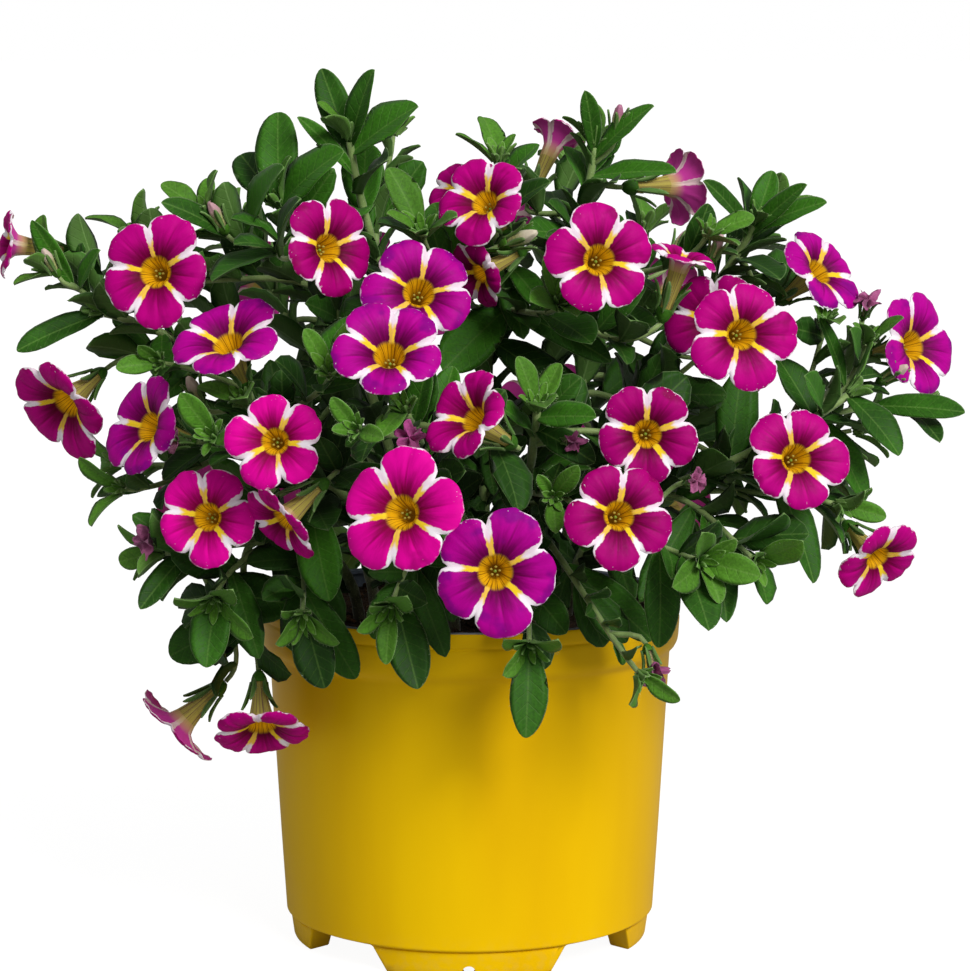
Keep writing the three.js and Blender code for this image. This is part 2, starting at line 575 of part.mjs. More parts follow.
/**
 * Skin of a shoot along the points of `line`, with a flat root and an ending that `finishSkin` adds to the
 * corners and faces. The sections turn as little as they can, back from the frame at the shoot's end.
 */
function shootSkin(line, radius, sides, endTangent, finishSkin) {
  const corners = [];
  const loops = [];
  let frame = ringFrame(endTangent);
  for (let k = line.length - 1; k >= 0; k -= 1) {
    const before = line[Math.max(0, k - 1)];
    const after = line[Math.min(line.length - 1, k + 1)];
    const tangent = k === line.length - 1 ? endTangent : after.clone().sub(before).normalize();
    const first = square(frame[0], tangent);
    frame = [first, tangent.clone().cross(first)];
    const loop = [];
    for (let i = 0; i < sides; i += 1) {
      const angle = (i * 2 * Math.PI) / sides;
      loop.push({ id: corners.length, angle });
      corners.push(around(line[k], frame, radius, angle));
    }
    loops.push(loop);
  }
  const faces = lid(loops[loops.length - 1].map(({ id }) => id).reverse());
  for (let k = 1; k < loops.length; k += 1) faces.push(...stitch(loops[k], loops[k - 1]));
  finishSkin(corners, faces, loops[0]);
  return faceted(corners, faces);
}

/** Ending with a calyx: a cup with a flat top, and five pointed sepals that lean out of its edge. */
const calyxEnding = (flower) => (corners, faces, last) => {
  const top = ringPoint(flower, 0, TUBE_LENGTH + FIT_GAP, 0);
  const frame = ringFrame(flower.face);
  const tipPlane = along(top, flower.face, SEPAL_LENGTH);
  const edge = FIFTHS.flatMap((angle) => {
    const id = corners.length;
    corners.push(around(top, frame, CALYX_RADIUS, angle));
    corners.push(around(tipPlane, frame, SEPAL_REACH, angle + TO_MIDDLE));
    return [{ id, angle }, { id: id + 1, angle: angle + TO_MIDDLE }];
  });
  faces.push(...stitch(last, edge));
  const ids = edge.map(({ id }) => id);
  for (let i = 0; i < 10; i += 2) faces.push([ids[i], ids[i + 1], ids[(i + 2) % 10]]);
  faces.push(...lid(ids.filter((id, i) => i % 2 === 0)));
};

/** Ending with a rosette: a small hub that five leaves grow out of. */
const rosetteEnding = (end, tangent, leaves) => (corners, faces, last) => {
  const frame = ringFrame(tangent);
  const [low, high] = [along(end, tangent, HUB_HEIGHT / 3), along(end, tangent, HUB_HEIGHT)];
  const edge = FIFTHS.flatMap((angle) => {
    const id = corners.length;
    corners.push(around(high, frame, HUB_RADIUS, angle), around(low, frame, HUB_RADIUS, angle + TO_MIDDLE));
    return [{ id, angle }, { id: id + 1, angle: angle + TO_MIDDLE }];
  });
  faces.push(...stitch(last, edge));
  const ids = edge.map(({ id }) => id);
  leaves.forEach((leaf, i) => {
    const root = [ids[2 * i], ids[(2 * i + 2) % 10], ids[2 * i + 1]];
    addBlade(corners, faces, root, leaf);
  });
  faces.push(...lid(ids.filter((id, i) => i % 2 === 0)));
};

// ---------------------------------------------------------------- leaves

/** Half width of a leaf at `share` of its length, not yet scaled: s^taper times (1 - s^belly)^bluntness. */
const leafCurve = (share) => (
  Math.pow(share, LEAF_TAPER) * Math.pow(Math.max(0, 1 - Math.pow(share, LEAF_BELLY)), LEAF_BLUNTNESS)
);

const WIDEST_SHARE = Math.pow(LEAF_TAPER / (LEAF_TAPER + LEAF_BELLY * LEAF_BLUNTNESS), 1 / LEAF_BELLY);
const WIDEST = leafCurve(WIDEST_SHARE);

/** Half width of a leaf at `share` of its length, for a leaf that is 2 wide. */
const leafOutline = (share) => Math.max(STALK_WIDTH * (1 - share), leafCurve(share) / WIDEST);

/**
 * Leaf from `base` to `tip`. Its rib is an arc that sinks by `bend` radians in all, away from the side that
 * `upper` points to.
 */
function leafShape(base, tip, upper, width, bend) {
  const chord = tip.clone().sub(base);
  const reach = chord.length();
  chord.normalize();
  const lift = square(upper, chord);
  const half = bend / 2;
  const start = along(vec(0, 0, 0), chord, Math.cos(half), lift, Math.sin(half));
  const normal = along(vec(0, 0, 0), lift, Math.cos(half), chord, -Math.sin(half));
  const length = (reach * half) / Math.sin(half);
  return { base, start, normal, side: start.clone().cross(normal), length, width, bend };
}

/** Point of a leaf: `share` along the rib, `across` from -1 to 1 over the blade, `over` above it. */
function leafPoint(leaf, share, across, over) {
  const { base, start, normal, side, length, width, bend } = leaf;
  const turn = bend * share;
  const forth = (length * Math.sin(turn)) / bend;
  const sink = (length * (1 - Math.cos(turn))) / bend;
  const upright = along(vec(0, 0, 0), normal, Math.cos(turn), start, Math.sin(turn));
  const half = across * (width / 2) * leafOutline(share);
  const lift = Math.abs(half) * Math.sin(LEAF_FOLD) + over;
  return along(base, start, forth, normal, -sink, side, half * Math.cos(LEAF_FOLD), upright, lift);
}

/**
 * Blade on a root section of three corners (left, right, keel): a flat upper side and a keel under the rib,
 * with a section at each station and a point at the tip. Where the root is one corner three times, it is a
 * point.
 */
function addBlade(corners, faces, root, leaf) {
  const sections = [root];
  for (const share of leaf.length < SMALL_LEAF ? SMALL_LEAF_STATIONS : LEAF_STATIONS) {
    const id = corners.length;
    corners.push(leafPoint(leaf, share, FACET_SPREAD, 0));
    corners.push(leafPoint(leaf, share, -FACET_SPREAD, 0));
    corners.push(leafPoint(leaf, share, 0, -LEAF_KEEL));
    sections.push([id, id + 1, id + 2]);
  }
  const tip = corners.length;
  corners.push(leafPoint(leaf, 1, 0, 0));
  sections.push([tip, tip, tip]);
  const sides = [];
  for (let k = 1; k < sections.length; k += 1) {
    const [[left, right, keel], [nextLeft, nextRight, nextKeel]] = [sections[k - 1], sections[k]];
    sides.push([left, nextLeft, nextRight], [left, nextRight, right]);
    sides.push([left, keel, nextKeel], [left, nextKeel, nextLeft]);
    sides.push([keel, right, nextRight], [keel, nextRight, nextKeel]);
  }
  faces.push(...sides.filter((face) => new Set(face).size === 3));
}

/** Leaf of its own, rooted as a point in the middle of `line`. */
function leafGeometry(leaf, line) {
  const corners = [nearestOn(line, leaf.base)];
  const faces = [];
  addBlade(corners, faces, [0, 0, 0], leaf);
  return faceted(corners, faces);
}

/** Points over the blade. Its own stem counts for those from the number `free` on. */
function leafPoints(leaf) {
  const rows = Math.ceil(leaf.length / TEST_SPACING);
  const points = [];
  let free = 0;
  for (let i = 1; i <= rows; i += 1) {
    const share = i / rows;
    if (share < OWN_FREE) free = points.length;
    const columns = Math.ceil((leaf.width * leafOutline(share)) / TEST_SPACING);
    for (let j = 0; j <= columns; j += 1) {
      const across = columns ? (2 * j) / columns - 1 : 0;
      points.push(leafPoint(leaf, share, across, 0));
    }
  }
  return { points, free };
}

/** Leaf number `i` of a shoot, turned round it by `twist` and scaled. */
function spiralLeaf(shoot, index, i, at, twist, scale) {
  const base = curvePoint(shoot.curve, at);
  const outward = base.clone().sub(CORE).normalize();
  const tangent = curveTangent(shoot.curve, at);
  const angle = i * GOLDEN_ANGLE + index * 1.3 + noise(index, i, 1) * 0.8 + twist;
  const lean = radians(spread(SPIRAL.lean, noise(index, i, 2)));
  const sideways = around(vec(0, 0, 0), ringFrame(tangent), 1, angle);
  const spiral = along(vec(0, 0, 0), tangent, Math.cos(lean), sideways, Math.sin(lean));
  const away = along(spiral, outward, 0.45, UP, 0.1).normalize();
  const reach = shoot.leaf * spread(SPIRAL.size, noise(index, i, 3)) * scale;
  const upper = along(vec(0, 0, 0), tangent, 0.5, UP, 0.6, outward, 0.9);
  const width = reach * spread(SPIRAL.width, noise(index, i, 4));
  const bend = spread(SPIRAL.bend, noise(index, i, 5));
  return leafShape(base, along(base, away, reach), upper, width, bend);
}

/** Leaves along a shoot: in a spiral, leaning outwards and to the light. */
function growLeaves(shoot, index) {
  const leaves = [];
  const length = curveLength(shoot.curve);
  const bareEnd = shoot.tip ? BARE_TIP : BARE_STALK;
  const first = Math.max(BARE_ROOT, length * LEAFY_FROM);
  const count = Math.floor((length - first - bareEnd) / LEAF_PITCH) + 1;
  for (let i = 0; i < count; i += 1) {
    const at = 1 - (bareEnd + i * LEAF_PITCH) / length;
    for (const [twist, scale] of LEAF_TRIES) {
      const leaf = spiralLeaf(shoot, index, i, at, twist, scale);
      const { points, free } = leafPoints(leaf);
      if (room.air(points, REACH.leaf, shoot.stem, OWN_SHARE, free) > 0) {
        room.fill(points, REACH.leaf, shoot.stem);
        leaves.push(leaf);
        break;
      }
    }
  }
  return leaves;
}

/** Five leaves round a growing tip, each as long as the free room lets it be. */
function growRosette(shoot, index) {
  const end = shoot.curve[3];
  const tangent = curveTangent(shoot.curve, 1);
  const frame = ringFrame(tangent);
  return FIFTHS.map((angle, i) => {
    const sideways = around(vec(0, 0, 0), frame, 1, angle + TO_MIDDLE);
    const lean = radians(spread(ROSETTE.lean, noise(index, i, 11)));
    const away = along(vec(0, 0, 0), tangent, Math.cos(lean), sideways, Math.sin(lean));
    const base = along(end, tangent, HUB_HEIGHT * 0.7, sideways, HUB_RADIUS * 0.8);
    const full = shoot.leaf * spread(ROSETTE.size, noise(index, i, 12));
    const slimness = spread(ROSETTE.width, noise(index, i, 13));
    const bend = spread(ROSETTE.bend, noise(index, i, 14));
    let best = null;
    for (const scale of ROSETTE_TRIES) {
      const reach = full * scale;
      const leaf = leafShape(base, along(base, away, reach), tangent, reach * slimness, bend);
      const { points, free } = leafPoints(leaf);
      const air = room.air(points, REACH.leaf, shoot.stem, OWN_SHARE, free);
      if (!best || air > best.air) best = { leaf, points, air };
      if (air > 0) break;
    }
    room.fill(best.points, REACH.leaf, shoot.stem);
    return best.leaf;
  });
}

/** Large leaf from the stem's nearest point, or none where it finds no room. */
function growLargeLeaf([stem, from, tip, width], index) {
  const curves = shoots.filter((shoot) => shoot.stem === stem).map(({ curve }) => curve);
  const base = nearestOf(curves.flatMap((curve) => curvePoints(curve, 0.1, 2)), point(from)).clone();
  const outward = base.clone().sub(CORE).normalize();
  const upper = along(vec(0, 0, 0), UP, 0.5, outward, 0.5, vec(0, -1, 0), LARGE_FORWARD);
  const bend = spread(LARGE_BEND, noise(index, 7, 7));
  for (const scale of LARGE_LEAF_TRIES) {
    const leaf = leafShape(base, base.clone().lerp(point(tip), scale), upper, width * scale, bend);
    const { points, free } = leafPoints(leaf);
    if (room.air(points, REACH.leaf, stem, OWN_SHARE_LARGE, free) > 0) {
      room.fill(points, REACH.leaf, stem);
      return [leaf];
    }
  }
  return [];
}

// ---------------------------------------------------------------- solids

function faceted(corners, faces) {
  const geometry = new THREE.BufferGeometry();
  const positions = corners.flatMap((p) => p.toArray());
  geometry.setAttribute('position', new THREE.Float32BufferAttribute(positions, 3));
  geometry.setIndex(faces.flat());
  return geometry;
}

function solidOf(geometry) {
  const plain = geometry.clone();
  plain.deleteAttribute('normal');
  plain.deleteAttribute('uv');
  const merged = mergeVertices(plain, 1e-4);
  const vertProperties = new Float32Array(merged.attributes.position.array);
  const triVerts = new Uint32Array(merged.index.array);
  return new wasm.Manifold(new wasm.Mesh({ numProp: 3, vertProperties, triVerts }));
}

function geometryOf(solid) {
  const mesh = solid.getMesh();
  const geometry = new THREE.BufferGeometry();
  geometry.setAttribute('position', new THREE.BufferAttribute(new Float32Array(mesh.vertProperties), 3));
  geometry.setIndex(new THREE.BufferAttribute(new Uint32Array(mesh.triVerts), 1));
  geometry.computeVertexNormals();
  return geometry;
}

const unite = (geometries) => geometries.map(solidOf).reduce((whole, piece) => whole.add(piece));

/** Solid of revolution about Z from radius, height pairs that start and end on the axis. */
function turned(profile, sides) {
  const geometry = new THREE.LatheGeometry(profile.map(([r, z]) => new THREE.Vector2(r, z)), sides);
  return geometry.rotateX(Math.PI / 2);
}

const upright = (radius, low, high, sides, x, y) => {
  const geometry = new THREE.CylinderGeometry(radius, radius, high - low, sides).rotateX(Math.PI / 2);
  return geometry.translate(x, y, (low + high) / 2);
};

// ---------------------------------------------------------------- pot and soil

const QUARTERS = [0, 1, 2, 3].map((i) => (i * Math.PI) / 2);

/**
 * The space that the pot's outside encloses, up to `top`, drawn in by `inset`: a tapered drum whose foot
 * ring is cut into four feet, with a raised floor between them.
 */
function potSpace(inset, top) {
  const wall = POT_WALL_PROFILE.filter(([, z]) => z < top).map(([r, z]) => [r - inset, Math.max(z, inset)]);
  const reach = POT_WALL_PROFILE.find(([, z]) => z >= top - 1e-6)?.[0] ?? LIP_RADIUS;
  const profile = [[0, inset], ...wall, [reach - inset, top], [0, top]];
  let space = solidOf(turned(profile, POT_SIDES));
  const floor = FOOT_HEIGHT + inset;
  space = space.subtract(solidOf(upright(FOOT_INNER_RADIUS + inset, -5, floor, POT_SIDES, 0, 0)));
  for (const quarter of QUARTERS) {
    const [below, above] = [FOOT_GAP_BELOW / 2 + inset, FOOT_GAP_ABOVE / 2 + inset];
    const slope = (below - above) / floor;
    const gap = new THREE.Shape([
      new THREE.Vector2(-below - slope, -1), new THREE.Vector2(below + slope, -1),
      new THREE.Vector2(above, floor), new THREE.Vector2(-above, floor),
    ]);
    const cutter = new THREE.ExtrudeGeometry(gap, { depth: 40, bevelEnabled: false });
    cutter.rotateX(Math.PI / 2).translate(0, -28, 0).rotateZ(quarter + Math.PI / 4);
    space = space.subtract(solidOf(cutter));
  }
  return space;
}

function potSolid() {
  let pot = potSpace(0, POT_HEIGHT).subtract(potSpace(WALL, POT_HEIGHT - LIP_THICKNESS));
  pot = pot.subtract(solidOf(upright(LIP_BORE, POT_HEIGHT - 4, POT_HEIGHT + 2, POT_SIDES, 0, 0)));
  for (const quarter of QUARTERS) {
    const drain = upright(DRAIN_RADIUS, 0, 20, 10, 0, -DRAIN_CIRCLE).rotateZ(quarter + Math.PI / 4);
    const notch = new THREE.CylinderGeometry(NOTCH_RADIUS, NOTCH_RADIUS, 8, 10);
    notch.translate(0, -50, 0).rotateZ(quarter);
    pot = pot.subtract(solidOf(drain)).subtract(solidOf(notch));
  }
  return pot;
}

function soilSolid() {
  let soil = potSpace(WALL + FIT_GAP, SOIL_LEVEL);
  for (const { root } of Object.values(STEMS)) {
    const hole = upright(HOLE_RADIUS, SOIL_LEVEL - HOLE_DEPTH, SOIL_LEVEL + 5, 6, ...root);
    soil = soil.subtract(solidOf(hole));
  }
  return soil;
}

// ---------------------------------------------------------------- the plant

const finish = {
  pot: new THREE.MeshStandardMaterial({ name: 'yellow_plastic', color: 0xf2bf00, roughness: 0.45 }),
  soil: new THREE.MeshStandardMaterial({ name: 'peat', color: 0x2b1d14, roughness: 1 }),
  leaf: new THREE.MeshStandardMaterial({ name: 'leaf_green', color: 0x3c6b2c, roughness: 0.6 }),
  petal: new THREE.MeshStandardMaterial({ name: 'magenta_petal', color: 0xc8008c, roughness: 0.55 }),
};

const plant = new THREE.Group();

function addPiece(name, solid, material) {
  const mesh = new THREE.Mesh(geometryOf(solid), material);
  mesh.name = name;
  plant.add(mesh);
}

const trunks = {};
for (const [name, { root: [x, y], rise, lean, end }] of Object.entries(STEMS)) {
  trunks[name] = [vec(x, y, SOIL_LEVEL - HOLE_DEPTH + FIT_GAP), vec(x, y, rise), point(lean), point(end)];
}

const flowers = Object.entries(FLOWERS).map(([name, row], seed) => ({ name, seed, ...flowerFrame(row) }));
for (const flower of flowers) {
  const { limb, calyx, outlook } = flowerPoints(flower);
  room.fill(limb, REACH.limb, flower.name);
  room.fill(outlook, REACH.outlook, flower.name);
  room.fill(calyx, REACH.shoot, flower.stem);
}
for (const [name, trunk] of Object.entries(trunks)) {
  room.fill(curvePoints(trunk, 0, SHOOT_SPACING), REACH.trunk, name);
}

const shoots = [];
for (const flower of flowers) {
  const end = ringPoint(flower, 0, TUBE_LENGTH + FIT_GAP + CALYX_DEPTH, 0);
  const curve = growShoot(trunks[flower.stem], flower.at, end, flower.face, flower.stem);
  shoots.push({ curve, stem: flower.stem, tip: false, leaf: FLOWER_LEAF, flower });
}
for (const [stem, at, end, round, above, leaf] of TIPS) {
  const curve = growShoot(trunks[stem], at, point(end), heading(round, above), stem);
  shoots.push({ curve, stem, tip: true, leaf });
}
for (const [stem, curve] of Object.entries(trunks)) {
  shoots.push({ curve, stem, tip: true, leaf: TRUNK_LEAF, trunk: true });
}

const leavesOf = Object.fromEntries(Object.keys(STEMS).map((name) => [name, []]));
LARGE_LEAVES.forEach((row, index) => leavesOf[row[0]].push(...growLargeLeaf(row, index)));
shoots.forEach((shoot, index) => {
  if (shoot.tip) shoot.rosette = growRosette(shoot, index);
});
shoots.forEach((shoot, index) => leavesOf[shoot.stem].push(...growLeaves(shoot, index)));

/** Straight stretches of a shoot's solid, rooted on those of its stem. */
function shootLine(shoot, trunkLine) {
  if (shoot.trunk) return trunkLine;
  const [start, ...rest] = shoot.curve;
  const steps = curveLength(shoot.curve) < SHORT_SHOOT ? SHOOT_STEPS - 1 : SHOOT_STEPS;
  return stretches([nearestOn(trunkLine, start), ...rest], steps);
}

/** One stem with its side shoots, calyxes, rosettes and leaves, joined into one solid. */
function stemSolid(name) {
  const trunkLine = stretches(trunks[name], STEM_STEPS);
  const lines = [];
  const pieces = [];
  for (const shoot of shoots.filter(({ stem }) => stem === name)) {
    const line = shootLine(shoot, trunkLine);
    const [radius, sides] = shoot.trunk ? [TRUNK_RADIUS, TRUNK_SIDES] : [SHOOT_RADIUS, SHOOT_SIDES];
    const tangent = curveTangent(shoot.curve, 1);
    const rosette = () => rosetteEnding(shoot.curve[3], tangent, shoot.rosette);
    const ending = shoot.tip ? rosette() : calyxEnding(shoot.flower);
    pieces.push(shootSkin(line, radius, sides, tangent, ending));
    lines.push(line);
  }
  for (const leaf of leavesOf[name]) {
    const distances = lines.map((line) => nearestOn(line, leaf.base).distanceTo(leaf.base));
    pieces.push(leafGeometry(leaf, lines[distances.indexOf(Math.min(...distances))]));
  }
  return unite(pieces).simplify(SMALLEST_STEP);
}

addPiece('pot', potSolid(), finish.pot);
addPiece('soil', soilSolid(), finish.soil);
for (const name of Object.keys(STEMS)) addPiece(`stem_${name}`, stemSolid(name), finish.leaf);
for (const flower of flowers) addPiece(flower.name, solidOf(corollaGeometry(flower)), finish.petal);

export default plant;
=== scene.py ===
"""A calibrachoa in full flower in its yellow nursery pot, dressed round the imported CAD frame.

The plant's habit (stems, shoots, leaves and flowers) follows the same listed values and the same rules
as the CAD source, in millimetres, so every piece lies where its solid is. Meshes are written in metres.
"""

import logging
import math
from dataclasses import dataclass, field
from enum import Enum
from typing import Callable, Iterable, Iterator, Sequence

import bpy
import numpy as np
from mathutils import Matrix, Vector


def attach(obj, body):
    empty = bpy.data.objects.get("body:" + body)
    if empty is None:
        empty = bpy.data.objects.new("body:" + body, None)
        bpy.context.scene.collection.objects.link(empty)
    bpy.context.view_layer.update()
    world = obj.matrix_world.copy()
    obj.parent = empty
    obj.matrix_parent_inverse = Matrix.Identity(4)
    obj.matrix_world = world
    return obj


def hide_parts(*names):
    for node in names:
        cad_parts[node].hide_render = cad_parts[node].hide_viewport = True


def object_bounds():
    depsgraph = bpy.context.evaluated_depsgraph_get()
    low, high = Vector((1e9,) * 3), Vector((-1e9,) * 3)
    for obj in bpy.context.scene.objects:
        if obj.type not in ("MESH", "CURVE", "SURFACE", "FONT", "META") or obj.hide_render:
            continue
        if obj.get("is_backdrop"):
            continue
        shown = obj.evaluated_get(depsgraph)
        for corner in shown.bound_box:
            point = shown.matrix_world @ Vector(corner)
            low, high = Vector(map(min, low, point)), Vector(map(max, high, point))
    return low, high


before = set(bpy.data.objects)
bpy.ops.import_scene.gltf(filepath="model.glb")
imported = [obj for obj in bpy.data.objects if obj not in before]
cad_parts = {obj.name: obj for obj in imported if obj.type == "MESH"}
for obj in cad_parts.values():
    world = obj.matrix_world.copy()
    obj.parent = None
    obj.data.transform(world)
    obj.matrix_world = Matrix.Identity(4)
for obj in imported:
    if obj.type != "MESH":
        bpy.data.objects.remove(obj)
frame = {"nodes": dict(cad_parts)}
CAD_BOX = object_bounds()

log = logging.getLogger("calibrachoa")

Array = np.ndarray
MM = 0.001
UP = np.array([0.0, 0.0, 1.0])
CORE = np.array([0.0, 0.0, 110.0])          # the plant spreads from here
TURN = 2 * math.pi
FIFTHS = [i * TURN / 5 for i in range(5)]
TO_MIDDLE = math.pi / 5


# ------------------------------------------------------------------ driving dimensions (mm)

@dataclass(frozen=True)
class PotSizes:
    """Sizes of the pot and of the soil in it."""

    height: float = 97.0
    lip_radius: float = 60.0
    lip_bore: float = 57.0
    lip_air: float = 0.2                     # room kept round the lip
    bore_air: float = 1.5                    # room kept inside it
    foot_height: float = 7.0
    foot_inner_radius: float = 43.0
    notch_radius: float = 1.9
    drain_radius: float = 4.0
    drain_circle: float = 27.0
    soil_level: float = 93.0
    fit_gap: float = 0.3
    hole_depth: float = 10.0


@dataclass(frozen=True)
class FlowerSizes:
    """Sizes that all flowers share."""

    tube_length: float = 13.0
    tube_base_radius: float = 1.5
    mouth_share: float = 0.2                 # radius of the mouth for a limb of radius 1
    notch_depth: float = 0.3                 # depth of the notch between two petals, for a limb of radius 1
    petal_uneven: float = 0.12               # how much of that depth a petal may fall short by
    petal_roundness: float = 0.7             # exponent of the rim between notches: lower for broader petals
    calyx_depth: float = 3.6
    calyx_radius: float = 2.4
    sepal_reach: float = 5.4
    sepal_length: float = 7.5
    outlook: tuple[float, ...] = (6, 12, 18)  # distances before the mouth that other pieces leave open
    outlook_share: float = 0.6               # how far out they do so, as a share of the limb's radius


@dataclass(frozen=True)
class GrowthRules:
    """Spacing and room that the shoots and leaves keep."""

    shoot_reach: float = 1.75
    trunk_reach: float = 2.25
    leaf_reach: float = 1.75
    limb_reach: float = 1.95
    outlook_reach: float = 3.6
    own_share: float = 0.7
    own_free: float = 0.4
    large_share: float = 0.4
    spacing: float = 2.2                     # between points that stand for a blade or a limb
    shoot_spacing: float = 1.6               # between those that stand for a shoot
    handles: tuple[float, float] = (0.3, 0.36)  # lengths of a shoot's handles, for a shoot 1 long
    leaf_pitch: float = 16.0
    leafy_from: float = 0.36                 # share of a shoot without leaves at its start
    bare_start: float = 12.0                 # least length without them there
    bare_tip: float = 9.0                    # length without them below a growing tip
    bare_stalk: float = 13.0                 # and below a flower
    leaf_fold: float = 0.26
    leaf_stalk: float = 0.1                  # width of a leaf's stalk, for a leaf 1 wide
    leaf_taper: float = 0.75                 # exponent of the outline at the base: higher for a slimmer base
    leaf_belly: float = 1.8                  # exponent that sets how near the tip a leaf is widest
    leaf_bluntness: float = 0.72             # exponent of the outline at the tip: lower for a rounder tip
    golden_angle: float = 2.39996
    large_forward: float = 1.1               # how strongly the large leaves turn to the front
    hub_radius: float = 1.4
    hub_height: float = 1.8
    rosette_scales: tuple[float, ...] = (1, 0.82, 0.66, 0.5, 0.35)


@dataclass(frozen=True)
class FillRules:
    """Size and room of the smaller leaves that grow between the others, and how deep the painted shade on leaves
    inside the plant runs.
    """

    pitch: float = 5.0
    scale: tuple[float, float] = (0.55, 1.0)
    reach: float = 0.95
    own_share: float = 0.35
    bare_end: float = 7.0                    # length without them at a shoot's end
    leafy: float = 0.88                      # share of a shoot that bears them
    first_seed: int = 500
    heart: float = 105.0                     # leaves this far from the core are in full light
    # how fast the painted shade on leaves deepens towards the core
    darkening: float = 2.2
    gap_dark: float = 0.2                    # least painted shade on the leaves that fill gaps


POT = PotSizes()
FLOWER = FlowerSizes()
GROWTH = GrowthRules()
FILL = FillRules()


class Tone(Enum):
    """Petal colours that one plant shows side by side."""

    MAGENTA = "magenta"
    PINK = "pink"
    PURPLE = "purple"
    CRIMSON = "crimson"


# ------------------------------------------------------------------ the plant's habit, as listed (mm)

# Each stem: root x, y in the soil, how high it aims straight up, the point it leans past, and its end.
STEMS = {
    "left": ((-26, -3), 132, (-62, -6, 168), (-102, -4, 178)),
    "upper_left": ((-15, 5), 140, (-38, -4, 180), (-52, -14, 208)),
    "top": ((-5, 8), 150, (-28, 0, 186), (-33, -9, 226)),
    "middle": ((4, -6), 150, (6, -14, 180), (8, -20, 220)),
    "upper_right": ((14, 5), 150, (30, 0, 185), (35, 0, 224)),
    "right": ((27, -8), 136, (56, -34, 124), (104, -24, 157)),
    "far_right": ((24, 10), 140, (62, 0, 170), (79, -12, 203)),
    "front_left": ((-17, -17), 125, (-46, -38, 138), (-59, -48, 157)),
    "front": ((-4, -25), 128, (-10, -58, 142), (-16, -74, 158)),
    "front_right": ((13, -21), 126, (16, -52, 130), (18, -70, 158)),
    "low_left": ((-30, -18), 124, (-50, -42, 120), (-82, -46, 117)),
    "back_left": ((-18, 22), 138, (-50, 54, 160), (-66, 66, 190)),
    "back_right": ((16, 24), 138, (42, 60, 160), (52, 66, 196)),
}

